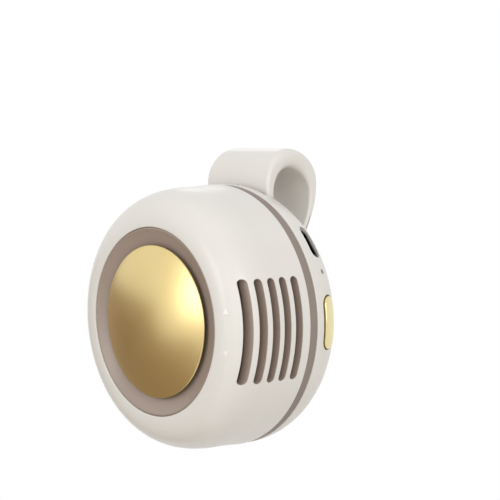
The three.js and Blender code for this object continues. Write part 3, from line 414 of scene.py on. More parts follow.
class Pill:
    """A pill outline about (y, z) that is wide along Y and long along Z."""

    def __init__(self, width, length, y, z=0.0):
        self.radius = width / 2
        self.reach = (length - width) / 2
        self.y = y
        self.z = z

    def grown(self, corner, grow, height, out):
        """A corner of the outline, moved to the same corner of the grown outline, over a surface."""
        core = min(max(corner.z, self.z - self.reach), self.z + self.reach)
        away = Vector((corner.y - self.y, corner.z - core)).normalized()
        y = self.y + away.x * (self.radius + grow)
        z = core + away.y * (self.radius + grow)
        return Vector((out(y, z) + height, y, z))

    def start(self, name, grow, height, out, filled=True):
        """The first loop of a pill, in edit mode, with all its corners selected."""
        bpy.ops.object.select_all(action="DESELECT")
        kind = "NGON" if filled else "NOTHING"
        bpy.ops.mesh.primitive_circle_add(vertices=PILL_STEPS, radius=self.radius, fill_type=kind)
        piece = bpy.context.object
        piece.name = name
        bpy.ops.object.mode_set(mode="EDIT")
        bpy.ops.mesh.select_mode(type="VERT")
        bpy.ops.mesh.select_all(action="SELECT")
        half_step = math.pi / PILL_STEPS

        def stand_up(corner):
            angle = math.atan2(corner.y, corner.x) + half_step
            end = self.reach if math.sin(angle) > 0 else -self.reach
            y = self.y + self.radius * math.cos(angle)
            return Vector((0, y, self.z + end + self.radius * math.sin(angle)))

        shift_picked(piece, stand_up)
        if self.reach > self.radius:
            pick(piece, "EDGE", lambda edge: edge.calc_length() > self.reach)
            bpy.ops.mesh.subdivide(number_cuts=PILL_STEPS)
        bpy.ops.mesh.select_mode(type="VERT")
        bpy.ops.mesh.select_all(action="SELECT")
        shift_picked(piece, lambda corner: self.grown(corner, grow, height, out))
        return piece

    def next(self, piece, grow, height, out):
        bpy.ops.mesh.extrude_region_move()
        shift_picked(piece, lambda corner: self.grown(corner, grow, height, out))


def opening_tool(name, pill, out, lip, depth):
    """A tool that cuts a pill through a shell and leaves its edge rounded."""
    piece = pill.start(name, 0, -depth, out)
    for i in range(LIP_STEPS + 1):
        angle = math.radians(LIP_ANGLE) * i / LIP_STEPS
        pill.next(piece, lip * (1 - math.cos(angle)), -lip * (1 - math.sin(angle)), out)
    pill.next(piece, lip, WALL, out)
    close_up()
    end_edit()
    return piece


# Finish: smooth shading, place, material, body


def finish_piece(piece, body, materials, nodes=(), smooth=35):
    select_only(piece)
    piece.scale = (MM, MM, MM)
    piece.location = (0, -GRIP_Y * MM, 0)
    bpy.ops.object.transform_apply(location=True, rotation=True, scale=True)
    bpy.ops.object.shade_smooth_by_angle(angle=math.radians(smooth))
    use_modifier(piece, "WEIGHTED_NORMAL", keep_sharp=True, weight=80)
    piece.data.materials.clear()
    for material in materials:
        piece.data.materials.append(material)
    if nodes:
        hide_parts(*nodes)
    if body:
        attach(piece, body)


# Materials


def hex_colour(text):
    """An sRGB hex colour as linear light."""
    parts = [int(text[i : i + 2], 16) / 255 for i in (1, 3, 5)]
    linear = [p / 12.92 if p <= 0.04045 else ((p + 0.055) / 1.055) ** 2.4 for p in parts]
    return (*linear, 1.0)


def add(material, kind, inputs=(), **settings):
    """Adds a node: settings are its own, and inputs are values or other nodes' outputs."""
    node = material.node_tree.nodes.new(kind)
    for name, value in settings.items():
        setattr(node, name, value)
    for name, value in dict(inputs).items():
        if isinstance(value, bpy.types.NodeSocket):
            material.node_tree.links.new(value, node.inputs[name])
        else:
            node.inputs[name].default_value = value
    return node


def per_size(size_mm):
    """A pattern's scale from the real size of its features, because coordinates are in metres."""
    return 1 / (size_mm * MM)


def per_band(spacing_mm):
    """A wave pattern's scale from the real spacing of its bands: it draws one every 2 pi / 20 of a unit."""
    return per_size(spacing_mm) * 2 * math.pi / 20


def surface(name, **values):
    """A new material, with the values that are the same all over set on its shader."""
    material = bpy.data.materials.new(name)
    material.use_nodes = True
    shader = material.node_tree.nodes["Principled BSDF"]
    for socket, value in values.items():
        shader.inputs[socket.replace("_", " ")].default_value = value
    return material, shader


def mottle(material, shader, colours, size_mm, roughness, grain_mm, grain_height):
    """Colour that drifts between two shades, and a fine grain in roughness and height."""
    links = material.node_tree.links
    place = add(material, "ShaderNodeTexCoord").outputs["Object"]
    drift = add(
        material,
        "ShaderNodeTexNoise",
        {"Vector": place, "Scale": per_size(size_mm), "Detail": 2.0},
    )
    blend = add(
        material,
        "ShaderNodeMixRGB",
        {"Fac": drift.outputs["Fac"], "Color1": hex_colour(colours[0]), "Color2": hex_colour(colours[1])},
    )
    links.new(blend.outputs["Color"], shader.inputs["Base Color"])
    grain = add(
        material,
        "ShaderNodeTexNoise",
        {"Vector": place, "Scale": per_size(grain_mm), "Detail": 3.0},
    )
    gloss = add(
        material,
        "ShaderNodeMapRange",
        {"Value": grain.outputs["Fac"], "To Min": roughness[0], "To Max": roughness[1]},
    )
    links.new(gloss.outputs["Result"], shader.inputs["Roughness"])
    height = add(
        material,
        "ShaderNodeBump",
        {"Height": grain.outputs["Fac"], "Strength": 1.0, "Distance": grain_height * MM},
    )
    links.new(height.outputs["Normal"], shader.inputs["Normal"])
    return place, grain, height


def moulded(name, colours, roughness, grain_mm=0.5, grain_height=0.002, **values):
    """A moulding: an even colour with the faint clouding of the melt, and the grain of a blasted mould."""
    material, shader = surface(name, **values)
    mottle(material, shader, colours, 14.0, roughness, grain_mm, grain_height)
    return material


# Satin ABS: warm white, with broad soft highlights from a finely blasted mould. The mould's grain is
# about 0.1 mm, and is drawn at 0.5 mm so that it shows at all.
CREAM = moulded("moulded_abs_cream", ("#E1DDD6", "#E5E2DC"), (0.27, 0.35), IOR=1.53)
# The same ABS from a polished insert in the mould: a shade lighter and glossier.
MARK = moulded("moulded_abs_mark", ("#EFEBE5", "#F3F0EB"), (0.22, 0.28), IOR=1.53)
# Matte ABS: taupe, from a coarser blasted mould, so its highlights are dull.
TAUPE = moulded("moulded_abs_taupe", ("#8A7D74", "#92857C"), (0.5, 0.62), 0.4, 0.006, IOR=1.53)
# Satin ABS of the outlet and the louvres: a browner taupe, made a shade lighter than the seam's as painted
# light that makes up for the shade deep in the slots and the dish, with a soft sheen in the dish.
TAUPE_PAINTED_LIGHTER = moulded(
    "moulded_abs_taupe_painted_lighter", ("#9C8B80", "#A49388"), (0.3, 0.38), 0.4, 0.002, IOR=1.53
)
# Glass-filled nylon: near black, dull, a little rough where the fibres show.
NYLON = moulded("glass_filled_nylon", ("#232325", "#303033"), (0.5, 0.7), 0.3, 0.01, IOR=1.53)
# Closed-cell foam: charcoal and quite matte, with cells of about 0.6 mm.
FOAM = moulded("closed_cell_foam", ("#343436", "#434346"), (0.85, 0.97), 0.6, 0.05)
# Silicone insulation on stranded wire: red, soft sheen.
SILICONE = moulded("silicone_insulation", ("#9E2C26", "#AC352E"), (0.4, 0.5), 0.4, 0.004)
# Smoked polycarbonate: a dark window that lets the indicator shine through; its tint is made darker as
# painted shade, for the shade down the pinhole.
POLYCARBONATE, shader = surface("polycarbonate_smoked_painted_shade", IOR=1.585, Transmission_Weight=0.3)
mottle(POLYCARBONATE, shader, ("#2A2624", "#352F2C"), 4.0, (0.2, 0.3), 0.4, 0.002)


def metal(name, colours, roughness, grain_mm=0.4, grain_height=0.001):
    """A metal: its colour in its reflections, with a fine grain that dulls them."""
    material, shader = surface(name, Metallic=1.0)
    mottle(material, shader, colours, 6.0, roughness, grain_mm, grain_height)
    return material


def spun_gold():
    """Gold anodised aluminium, spun on a lathe: satin, with the tool's fine rings about the axis.

    The rings are about 0.1 mm apart, and are drawn 2.2 mm apart so that they show.
    """
    material, shader = surface("anodised_aluminium_gold", Metallic=1.0)
    place, grain, height = mottle(
        material, shader, ("#E2CB8E", "#E8D398"), 9.0, (0.3, 0.34), 0.4, 0.0001
    )
    rings = add(
        material,
        "ShaderNodeTexWave",
        {"Vector": place, "Scale": per_band(2.2), "Distortion": 0.4, "Detail": 1.0},
        wave_type="RINGS",
        rings_direction="Y",
    )
    ridges = add(
        material,
        "ShaderNodeBump",
        {
            "Height": rings.outputs["Fac"],
            "Normal": height.outputs["Normal"],
            "Strength": 1.0,
            "Distance": 0.0002 * MM,
        },
    )
    material.node_tree.links.new(ridges.outputs["Normal"], shader.inputs["Normal"])
    return material


def banded(material, shader, size_mm, direction, colours, height_mm):
    """Bands along an axis, such as stacked sheets or wound wire."""
    place = add(material, "ShaderNodeTexCoord").outputs["Object"]
    bands = add(
        material,
        "ShaderNodeTexWave",
        {"Vector": place, "Scale": per_band(size_mm), "Distortion": 0.6, "Detail": 1.0},
        bands_direction=direction,
    )
    blend = add(
        material,
        "ShaderNodeMixRGB",
        {"Fac": bands.outputs["Fac"], "Color1": hex_colour(colours[0]), "Color2": hex_colour(colours[1])},
    )
    height = add(
        material,
        "ShaderNodeBump",
        {"Height": bands.outputs["Fac"], "Strength": 1.0, "Distance": height_mm * MM},
    )
    material.node_tree.links.new(blend.outputs["Color"], shader.inputs["Base Color"])
    material.node_tree.links.new(height.outputs["Normal"], shader.inputs["Normal"])


def circuit_board():
    """Green solder mask over etched copper: lighter where a track runs below."""
    material, shader = surface("glass_epoxy_solder_mask", Roughness=0.4, IOR=1.5)
    place = add(material, "ShaderNodeTexCoord").outputs["Object"]
    cells = add(
        material,
        "ShaderNodeTexVoronoi",
        {"Vector": place, "Scale": per_size(2.5), "Randomness": 0.6},
        distance="CHEBYCHEV",
        feature="F1",
    )
    tracks = add(
        material,
        "ShaderNodeMath",
        {0: cells.outputs["Distance"], 1: 0.36},
        operation="GREATER_THAN",
    )
    blend = add(
        material,
        "ShaderNodeMixRGB",
        {
            "Fac": tracks.outputs["Value"],
            "Color1": hex_colour("#175135"),
            "Color2": hex_colour("#2A7550"),
        },
    )
    height = add(
        material,
        "ShaderNodeBump",
        {"Height": tracks.outputs["Value"], "Strength": 1.0, "Distance": 0.03 * MM},
    )
    material.node_tree.links.new(blend.outputs["Color"], shader.inputs["Base Color"])
    material.node_tree.links.new(height.outputs["Normal"], shader.inputs["Normal"])
    return material


GOLD = spun_gold()
# Gold-plated ABS: polished, so it shows sharp reflections.
PLATED_GOLD = metal("gold_plated_abs", ("#E4D6A2", "#EADDAC"), (0.12, 0.18), grain_height=0.0001)
# Sheet steel plated in black nickel: a dark grey rim round the socket's mouth.
NICKEL = metal("black_nickel_plated_steel", ("#4A4947", "#5A5957"), (0.25, 0.35))
# Zinc-plated steel: bluish grey, with a mottled plating.
ZINC = metal("zinc_plated_steel", ("#A2A6AA", "#BDC0C3"), (0.3, 0.45))
# Sintered magnet: dark grey, grainy and dull.
MAGNET = metal("sintered_magnet", ("#3C3C40", "#4A4A4E"), (0.5, 0.65), 0.3, 0.008)
# Laminated aluminium foil of a pouch cell: pale, slightly crinkled every few millimetres.
POUCH = metal("pouch_cell_foil", ("#BCC0C3", "#D0D3D5"), (0.35, 0.5), 2.5, 0.05)
# Silicon-steel sheets of 0.35 mm, stacked.
LAMINATION, shader = surface("silicon_steel_sheets", Metallic=1.0, Roughness=0.4)
banded(LAMINATION, shader, 0.35, "Y", ("#7F8388", "#A5A9AD"), 0.02)
# Enamelled copper wire of 0.25 mm, wound in layers: drawn at 0.4 mm.
COPPER, shader = surface("enamelled_copper_wire", Metallic=1.0, Roughness=0.3)
banded(COPPER, shader, 0.4, "DIAGONAL", ("#8E4A22", "#C9763F"), 0.08)
BOARD = circuit_board()


# Front shell: a turned bowl with an open front, five slots in each side and two marks on its front edge


def slot_pill(i, grow=0.0):
    return Pill(SLOT_WIDTH + 2 * grow, SLOT_HEIGHT + 2 * grow, LAST_SLOT_Y - i * SLOT_PITCH)


def front_shell():
    crest = OUTLET_RADIUS + SHELL_EDGE
    outside = [corner for corner in FRONT[1:] if corner[0] > crest + SHELL_EDGE]
    inside = [corner for corner in sunk(FRONT, WALL)[1:] if corner[0] > crest]
    profile = (
        arc(BODY_RADIUS - SHELL_EDGE, -SHELL_EDGE, SHELL_EDGE, 90, 0)
        + outside
        + arc(crest, SHELL_EDGE - FRONT_DEPTH, SHELL_EDGE, 270, 180)
        + [(OUTLET_RADIUS, WALL - FRONT_DEPTH)]
        + inside[::-1]
        + [(BODY_RADIUS - WALL, 0.0)]
    )
    shell = turn("front_shell_moulding", profile)
    for side in (0, 180):
        tools = [
            opening_tool(f"slot_tool_{i}", slot_pill(i), skin(FRONT), SLOT_LIP, 4 * WALL)
            for i in range(SLOT_COUNT)
        ]
        tool = join(tools)
        turn_object(tool, side)
        carve(shell, tool)
    finish_piece(shell, "housing", [CREAM], ["front_shell"])


def grille(side, node):
    """A sheet inside the shell with a sleeve through every slot."""
    reach = math.asin((SLOT_HEIGHT / 2 + SHEET_MARGIN) / (BODY_RADIUS - WALL))
    low = LAST_SLOT_Y - (SLOT_COUNT - 1) * SLOT_PITCH - SLOT_WIDTH / 2
    span = [corner for corner in FRONT if low < corner[1] < SHEET_REAR_Y]
    edge = sunk(span, SHEET_TOP) + sunk(span, SHEET_BOTTOM)[::-1]
    rim = [(r * math.cos(reach), y, -r * math.sin(reach)) for r, y in edge + edge[:1]]
    sheet = draw(f"grille_{side}", rim)
    bpy.ops.mesh.select_all(action="SELECT")
    bpy.ops.mesh.remove_doubles(threshold=TINY)
    bpy.ops.mesh.edge_face_add()
    bpy.ops.mesh.select_all(action="SELECT")
    bpy.ops.mesh.spin(steps=SHEET_STEPS, angle=-2 * reach, center=(0, 0, 0), axis=(0, 1, 0))
    close_up()
    end_edit()
    out = skin(FRONT)
    tools = []
    sleeves = []
    for i in range(SLOT_COUNT):
        pill = slot_pill(i, -SLEEVE_GAP)
        tool = pill.start(f"sheet_tool_{i}", -SLEEVE_WALL / 2, -4 * WALL, out)
        pill.next(tool, -SLEEVE_WALL / 2, WALL, out)
        close_up()
        end_edit()
        tools.append(tool)
        sleeve = pill.start(f"sleeve_{i}", 0, -SHEET_BOTTOM, out, filled=False)
        pill.next(sleeve, 0, -SLEEVE_RECESS, out)
        pill.next(sleeve, -SLEEVE_EDGE, -SLEEVE_RECESS, out)
        pill.next(sleeve, -SLEEVE_WALL, -SLEEVE_TAPER, out)
        pill.next(sleeve, -SLEEVE_WALL, -SHEET_BOTTOM, out)
        pick(sleeve, "EDGE", lambda edge: edge.is_boundary)
        bpy.ops.mesh.bridge_edge_loops()
        close_up()
        end_edit()
        sleeves.append(sleeve)
    carve(sheet, join(tools))
    whole = join([sheet] + sleeves)
    turn_object(whole, side)
    # The sleeves take the taupe that is painted lighter, as painted light in the slots' shade.
    finish_piece(whole, "housing", [TAUPE_PAINTED_LIGHTER], [node])


def mark(up):
    """A small raised triangle on the shell's front edge, which points up (1) or down (-1)."""
    angle = up * math.radians(MARK_ANGLE)
    ring = Vector((math.cos(angle), 0, math.sin(angle)))
    after = next(i for i, corner in enumerate(FRONT) if corner[0] < MARK_RADIUS)
    (r0, y0), (r1, y1) = FRONT[after - 1], FRONT[after]
    run = Vector((r1 - r0, y1 - y0)).normalized()
    outward = -run.y * ring + Vector((0, run.x, 0))
    y = y0 + (y1 - y0) * (MARK_RADIUS - r0) / (r1 - r0)
    place = MARK_RADIUS * ring + Vector((0, y, 0))
    across = Vector((0, 0, 1)).cross(outward).normalized()
    upright = outward.cross(across)
    bpy.ops.object.select_all(action="DESELECT")
    bpy.ops.mesh.primitive_circle_add(vertices=3, radius=1, fill_type="NGON")
    piece = bpy.context.object
    piece.name = "mark_up" if up > 0 else "mark_down"
    start_edit(piece)
    bpy.ops.mesh.select_mode(type="VERT")
    bpy.ops.mesh.select_all(action="SELECT")

    def on_shell(corner):
        # The circle's three corners are sqrt(3) wide and 1.5 high, with their middle height at 0.25.
        side = corner.x * MARK_WIDTH / math.sqrt(3)
        rise = up * (corner.y - 0.25) * MARK_HEIGHT / 1.5
        return place + side * across + rise * upright - MARK_ROOT * outward

    shift_picked(piece, on_shell)
    bpy.ops.mesh.select_mode(type="FACE")
    step = (MARK_ROOT + MARK_RISE) * outward
    bpy.ops.mesh.extrude_region_move(TRANSFORM_OT_translate={"value": step})
    bpy.ops.mesh.bevel(offset=MARK_RISE / 2, segments=2, affect="EDGES")
    close_up()
    end_edit()
    finish_piece(piece, "housing", [MARK])


front_shell()
mark(1)
mark(-1)
grille(0, "grille_insert_right")
grille(180, "grille_insert_left")


# Outlet: the dished nozzle with its duct, hub and vanes, and the dome on the hub


def dish():
    """The dish from its rim down to the throat, one smooth curve."""
    start = Vector((OUTLET_RADIUS - NOZZLE_GAP - NOZZLE_LAND, NOZZLE_Y))
    pull = Vector((THROAT_RADIUS + DISH_PULL, NOZZLE_Y + DISH_SAG))
    end = Vector((THROAT_RADIUS, THROAT_Y))
    corners = []
    for i in range(CURVE_STEPS // 2 + 1):
        t = i / (CURVE_STEPS // 2)
        corners.append(tuple((1 - t) ** 2 * start + 2 * t * (1 - t) * pull + t * t * end))
    return corners


def nozzle():
    back = NOZZLE_Y + NOZZLE_FLANGE
    wall = turn(
        "outlet_nozzle",
        arc(OUTLET_RADIUS - NOZZLE_GAP - NOZZLE_LAND, NOZZLE_Y + NOZZLE_LAND, NOZZLE_LAND, 0, -90)
        + dish()
        + [
            (DUCT_RADIUS, HUB_REAR_Y),
            (DUCT_RADIUS, DUCT_BACK_Y),
            (DUCT_RADIUS + DUCT_WALL, DUCT_BACK_Y),
            (DUCT_RADIUS + DUCT_WALL, back),
            (OUTLET_RADIUS - NOZZLE_GAP, back),
        ],
    )
    front = DOME_RIM_Y + DOME_SHEET + FIT
    bore = STUD_RADIUS + FIT
    hub = turn(
        "nozzle_hub",
        [
            (bore, front),
            (HUB_RADIUS - HUB_TAPER, front),
            (HUB_RADIUS, THROAT_Y),
            (HUB_RADIUS, HUB_REAR_Y),
            (bore, HUB_REAR_Y),
        ],
    )
    vanes = []
    length = DUCT_RADIUS - HUB_RADIUS + VANE_ROOTS
    for i in range(VANE_COUNT):
        bpy.ops.object.select_all(action="DESELECT")
        bpy.ops.mesh.primitive_cube_add(size=1)
        vane = bpy.context.object
        vane.scale = (length, HUB_REAR_Y - THROAT_Y, VANE_THICKNESS)
        vane.rotation_euler = (VANE_TURN, 0, 0)
        vane.location = ((HUB_RADIUS + DUCT_RADIUS) / 2, (HUB_REAR_Y + THROAT_Y) / 2, 0)
        bpy.ops.object.transform_apply(location=True, rotation=True, scale=True)
        use_modifier(vane, "BEVEL", width=VANE_EDGE, segments=3, limit_method="ANGLE")
        turn_object(vane, 360 / VANE_COUNT * i)
        vanes.append(vane)
    whole = join([wall, hub] + vanes)
    # The dish takes the taupe that is painted lighter, as painted light in its shade.
    finish_piece(whole, "housing", [TAUPE_PAINTED_LIGHTER], ["nozzle"])


def dome():
    sphere = (DOME_RADIUS**2 + DOME_RISE**2) / (2 * DOME_RISE)
    centre = DOME_RIM_Y - DOME_RISE + sphere
    edge = DOME_SHEET / 2
    radii = [(DOME_RADIUS - edge) * i / CURVE_STEPS for i in range(CURVE_STEPS + 1)]
    outer = [(r, centre - math.sqrt(sphere**2 - r * r)) for r in radii]
    rim_y = outer[-1][1] + edge
    stud_y = DOME_RIM_Y + STUD_LENGTH
    inner = [(r, y + DOME_SHEET) for r, y in outer if r > STUD_RADIUS]
    profile = (
        outer
        + arc(DOME_RADIUS - edge, rim_y, edge, -DOME_RIM_ANGLE, DOME_RIM_ANGLE)
        + inner[::-1]
        + [(STUD_RADIUS, inner[0][1]), (STUD_RADIUS, stud_y), (0.0, stud_y)]
    )
    finish_piece(turn("dome", profile), "housing", [GOLD], ["dome_cap"])


nozzle()
dome()


# Seam ring with its plate and spigots


def screw_place(node):
    """Where a screw along the axis stands, as (x, z) in millimetres."""
    low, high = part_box(node)
    return (low[0] + high[0]) / 2 / MM, (low[2] + high[2]) / 2 / MM


def drill(piece, radius, low, high, x, z):
    """Cuts a round hole along the axis."""
    bpy.ops.object.select_all(action="DESELECT")
    bpy.ops.mesh.primitive_cylinder_add(vertices=PILL_STEPS, radius=radius, depth=high - low)
    tool = bpy.context.object
    tool.rotation_euler = (math.pi / 2, 0, 0)
    tool.location = (x, (low + high) / 2, z)
    bpy.ops.object.transform_apply(location=True, rotation=True, scale=True)
    carve(piece, tool)


def seam_frame():
    low, high = FIT, SEAM_WIDTH - FIT
    spigot_back = SEAM_WIDTH + SPIGOT_DEPTH
    profile = [
        (0.0, PLATE_FRONT_Y),
        (SPIGOT_INNER, PLATE_FRONT_Y),
        (SPIGOT_INNER, -SPIGOT_DEPTH),
        (SPIGOT_OUTER, -SPIGOT_DEPTH),
        (SPIGOT_OUTER, low),
        *arc(SEAM_RADIUS - SEAM_EDGE, low + SEAM_EDGE, SEAM_EDGE, -90, 0, SEAM_EDGE_STEPS),
        *arc(SEAM_RADIUS - SEAM_EDGE, high - SEAM_EDGE, SEAM_EDGE, 0, 90, SEAM_EDGE_STEPS),
        (SPIGOT_OUTER, high),
        (SPIGOT_OUTER, spigot_back),
        (SPIGOT_INNER, spigot_back),
        (SPIGOT_INNER, PLATE_BACK_Y),
        (0.0, PLATE_BACK_Y),
    ]
    ring = turn("seam_frame", profile)
    through = (-2 * WALL, 2 * WALL)
    for i in (1, 2, 3):
        place = screw_place(f"frame_screw_{i}")
        drill(ring, SCREW_HOLE, *through, *place)
        drill(ring, HEAD_HOLE, PLATE_BACK_Y + HEAD_SEAT, 4 * WALL, *place)
        drill(ring, SCREW_HOLE, *through, *screw_place(f"motor_screw_{i}"))
    drill(ring, LEAD_HOLE, *through, 0, LEAD_Z)
    finish_piece(ring, "housing", [TAUPE], ["middle_frame"])


seam_frame()


# Rear shell with the openings for the clip, button, indicator and socket


def block(name, low, high, edge):
    """A box between two corners, with rounded edges."""
    bpy.ops.object.select_all(action="DESELECT")
    bpy.ops.mesh.primitive_cube_add(size=1)
    piece = bpy.context.object
    piece.name = name
    piece.scale = [b - a for a, b in zip(low, high)]
    piece.location = [(a + b) / 2 for a, b in zip(low, high)]
    bpy.ops.object.transform_apply(location=True, rotation=True, scale=True)
    use_modifier(piece, "BEVEL", width=edge, segments=3, limit_method="ANGLE")
    return piece


def bar(name, radius, half, y, z):
    """A round bar along X with softened ends."""
    bpy.ops.object.select_all(action="DESELECT")
    bpy.ops.mesh.primitive_cylinder_add(vertices=BAR_STEPS, radius=radius, depth=2 * half)
    piece = bpy.context.object
    piece.name = name
    piece.rotation_euler = (0, math.pi / 2, 0)
    piece.location = (0, y, z)
    bpy.ops.object.transform_apply(location=True, rotation=True, scale=True)
    use_modifier(piece, "BEVEL", width=SOFT_EDGE, segments=2, limit_method="ANGLE")
    return piece


def ear(side):
    """A rib inside the shell that holds one end of the clip's pin."""
    near = KNUCKLE_HALF + RUN
    low, high = sorted((side * near, side * (near + EAR_THICKNESS)))
    near_corner = (low, PIN_Y - EAR_REACH, PIN_Z - EAR_REACH)
    far_corner = (high, PIN_Y + EAR_BACK, PIN_Z + EAR_TOP)
    rib = block("pin_ear", near_corner, far_corner, SOFT_EDGE)
    carve(rib, bar("pin_bore", PIN_RADIUS + FIT, 2 * CLIP_HALF, PIN_Y, PIN_Z))
    return rib


def rear_shell():
    inside = sunk(REAR, WALL)[1:]
    profile = (
        arc(BODY_RADIUS - SHELL_EDGE, SEAM_WIDTH + SHELL_EDGE, SHELL_EDGE, -90, 0)
        + [corner for corner in REAR if corner[1] > SEAM_WIDTH + 2 * SHELL_EDGE]
        + [(0.0, BACK_Y), (0.0, BACK_Y - WALL)]
        + inside[::-1]
        + [(BODY_RADIUS - WALL, SEAM_WIDTH)]
    )
    shell = turn("rear_shell_moulding", profile)
    bpy.ops.object.select_all(action="DESELECT")
    bpy.ops.mesh.primitive_cube_add(size=1)
    notch = bpy.context.object
    low, high = LEG_FRONT_Y - LEG_SWING - RUN, LEG_BACK_Y + RUN
    notch.scale = (2 * CLIP_HALF + 2 * RUN, high - low, NOTCH_TOP_Z - NOTCH_BOTTOM_Z)
    notch.location = (0, (low + high) / 2, (NOTCH_TOP_Z + NOTCH_BOTTOM_Z) / 2)
    bpy.ops.object.transform_apply(location=True, rotation=True, scale=True)
    start_edit(notch)
    pick(notch, "EDGE", lambda edge: abs(edge.verts[0].co.z - edge.verts[1].co.z) > 1)
    bpy.ops.mesh.bevel(offset=NOTCH_EDGE, segments=NOTCH_STEPS, affect="EDGES")
    end_edit()
    carve(shell, notch)
    out = skin(REAR)
    key = Pill(BUTTON_WIDTH + 2 * RUN, BUTTON_LENGTH + 2 * RUN, PORT_Y, BUTTON_Z)
    carve(shell, opening_tool("button_tool", key, out, BUTTON_LIP, OPENING_DEPTH))
    port = Pill(USB_HEIGHT + 2 * RUN, USB_WIDTH + 2 * RUN, PORT_Y)
    tool = opening_tool("port_tool", port, out, USB_LIP, OPENING_DEPTH)
    turn_object(tool, USB_ANGLE)
    carve(shell, tool)
    hole = Pill(PINHOLE_SIZE, PINHOLE_SIZE, PORT_Y)
    tool = opening_tool("pinhole_tool", hole, out, PINHOLE_LIP, OPENING_DEPTH)
    turn_object(tool, LED_ANGLE)
    carve(shell, tool)
    ears = [ear(side) for side in (-1, 1)]
    finish_piece(join([shell] + ears), "housing", [CREAM], ["rear_shell"])


rear_shell()


# Clip: one thick band bent over an arch, with a flat tongue


def bent(start, first, second, end, steps=CURVE_STEPS // 2):
    """Corners along a smooth bend between two straight runs."""
    corners = []
    for i in range(1, steps):
        t = i / steps
        s = 1 - t
        corners.append(
            tuple(
                s**3 * a + 3 * s * s * t * b + 3 * s * t * t * c + t**3 * d
                for a, b, c, d in zip(start, first, second, end)
            )
        )
    return corners


def clip():
    arch_radius = (ARCH_REAR_Y - LEG_FRONT_Y) / 2
    arch_y, arch_z = LEG_FRONT_Y + arch_radius, CLIP_TOP_Z - arch_radius
    hollow_rear = ARCH_REAR_Y - ARCH_BACK
    hollow_radius = (hollow_rear - LEG_BACK_Y) / 2
    hollow_y, hollow_z = LEG_BACK_Y + hollow_radius, CLIP_TOP_Z - CROWN - hollow_radius
    bend_z = BEND_BOTTOM_Z + BEND_PULL
    inner_y, outer_y = GRIP_Y, GRIP_Y + TONGUE
    inner_foot, outer_foot = (inner_y, BEND_BOTTOM_Z), (outer_y, BEND_BOTTOM_Z)
    inner_bend = bent(
        (hollow_rear, hollow_z),
        (hollow_rear, hollow_z - BEND_PULL),
        (inner_y, bend_z),
        inner_foot,
    )
    outer_bend = bent(
        outer_foot,
        (outer_y, bend_z),
        (ARCH_REAR_Y, arch_z - BEND_PULL),
        (ARCH_REAR_Y, arch_z),
    )
    side = (
        [(LEG_FRONT_Y, FOOT_Z), (LEG_BACK_Y, FOOT_Z)]
        + arc(hollow_y, hollow_z, hollow_radius, 180, 0, CURVE_STEPS)
        + inner_bend
        + [inner_foot, (inner_y, CLIP_TIP_Z), (outer_y, CLIP_TIP_Z), outer_foot]
        + outer_bend
        + arc(arch_y, arch_z, arch_radius, 0, 180, CURVE_STEPS)
    )
    corners = [(-CLIP_HALF, y, z) for y, z in side]
    band = draw("clip_band", corners + corners[:1])
    bpy.ops.mesh.select_all(action="SELECT")
    bpy.ops.mesh.remove_doubles(threshold=TINY)
    bpy.ops.mesh.select_all(action="SELECT")
    bpy.ops.mesh.edge_face_add()
    bpy.ops.mesh.extrude_region_move(TRANSFORM_OT_translate={"value": (2 * CLIP_HALF, 0, 0)})
    close_up()

    def tip_corner(edge):
        a, b = (corner.co for corner in edge.verts)
        return a.z < CLIP_TIP_Z + 1 and b.z < CLIP_TIP_Z + 1 and abs(a.x - b.x) < TINY

    pick(band, "EDGE", tip_corner)
    bpy.ops.mesh.bevel(offset=CLIP_HALF - TIP_FLAT, segments=TIP_STEPS, affect="EDGES")
    end_edit()
    use_modifier(
        band,
        "BEVEL",
        width=CLIP_EDGE,
        segments=CLIP_EDGE_STEPS,
        limit_method="ANGLE",
        angle_limit=math.radians(CLIP_SHARP),
        use_clamp_overlap=False,
    )
    # The arch's edges grow rounder towards its top, so the loop opens like a funnel.
    start_edit(band)
    flat_half = CLIP_HALF - CLIP_EDGE - TINY
    pick(band, "VERT", lambda corner: corner.co.z > hollow_z and abs(corner.co.x) > flat_half)

    def rounder(corner):
        outer = Vector((corner.y - arch_y, corner.z - arch_z))
        inner = Vector((corner.y - hollow_y, corner.z - hollow_z))
        centre, out, radius = Vector((hollow_y, hollow_z)), inner, hollow_radius
        if arch_radius - outer.length < inner.length - hollow_radius:
            centre, out, radius = Vector((arch_y, arch_z)), outer, arch_radius
        more = 1 + (CROWN_ROUND / CLIP_EDGE - 1) * max(out.normalized().y, 0) ** 2
        moved = centre + out.normalized() * (radius + (out.length - radius) * more)
        x = CLIP_HALF - (CLIP_HALF - abs(corner.x)) * more
        return Vector((math.copysign(x, corner.x), moved.x, moved.y))

    shift_picked(band, rounder)
    end_edit()
    knuckle = bar("clip_knuckle", KNUCKLE_RADIUS, KNUCKLE_HALF, PIN_Y, PIN_Z)
    low = (-KNUCKLE_HALF, LEG_FRONT_Y, PIN_Z)
    high = (KNUCKLE_HALF, LEG_BACK_Y, FOOT_Z + NECK_OVERLAP)
    neck = block("clip_neck", low, high, SOFT_EDGE)
    for root in (knuckle, neck):
        carve(root, bar("spring_room", KNUCKLE_RADIUS + RUN, SPRING_HALF, PIN_Y, PIN_Z))
        carve(root, bar("pin_bore", PIN_RADIUS + RUN, CLIP_HALF, PIN_Y, PIN_Z))
    whole = join([band, neck, knuckle])
    finish_piece(whole, "clip", [CREAM], ["clip"])


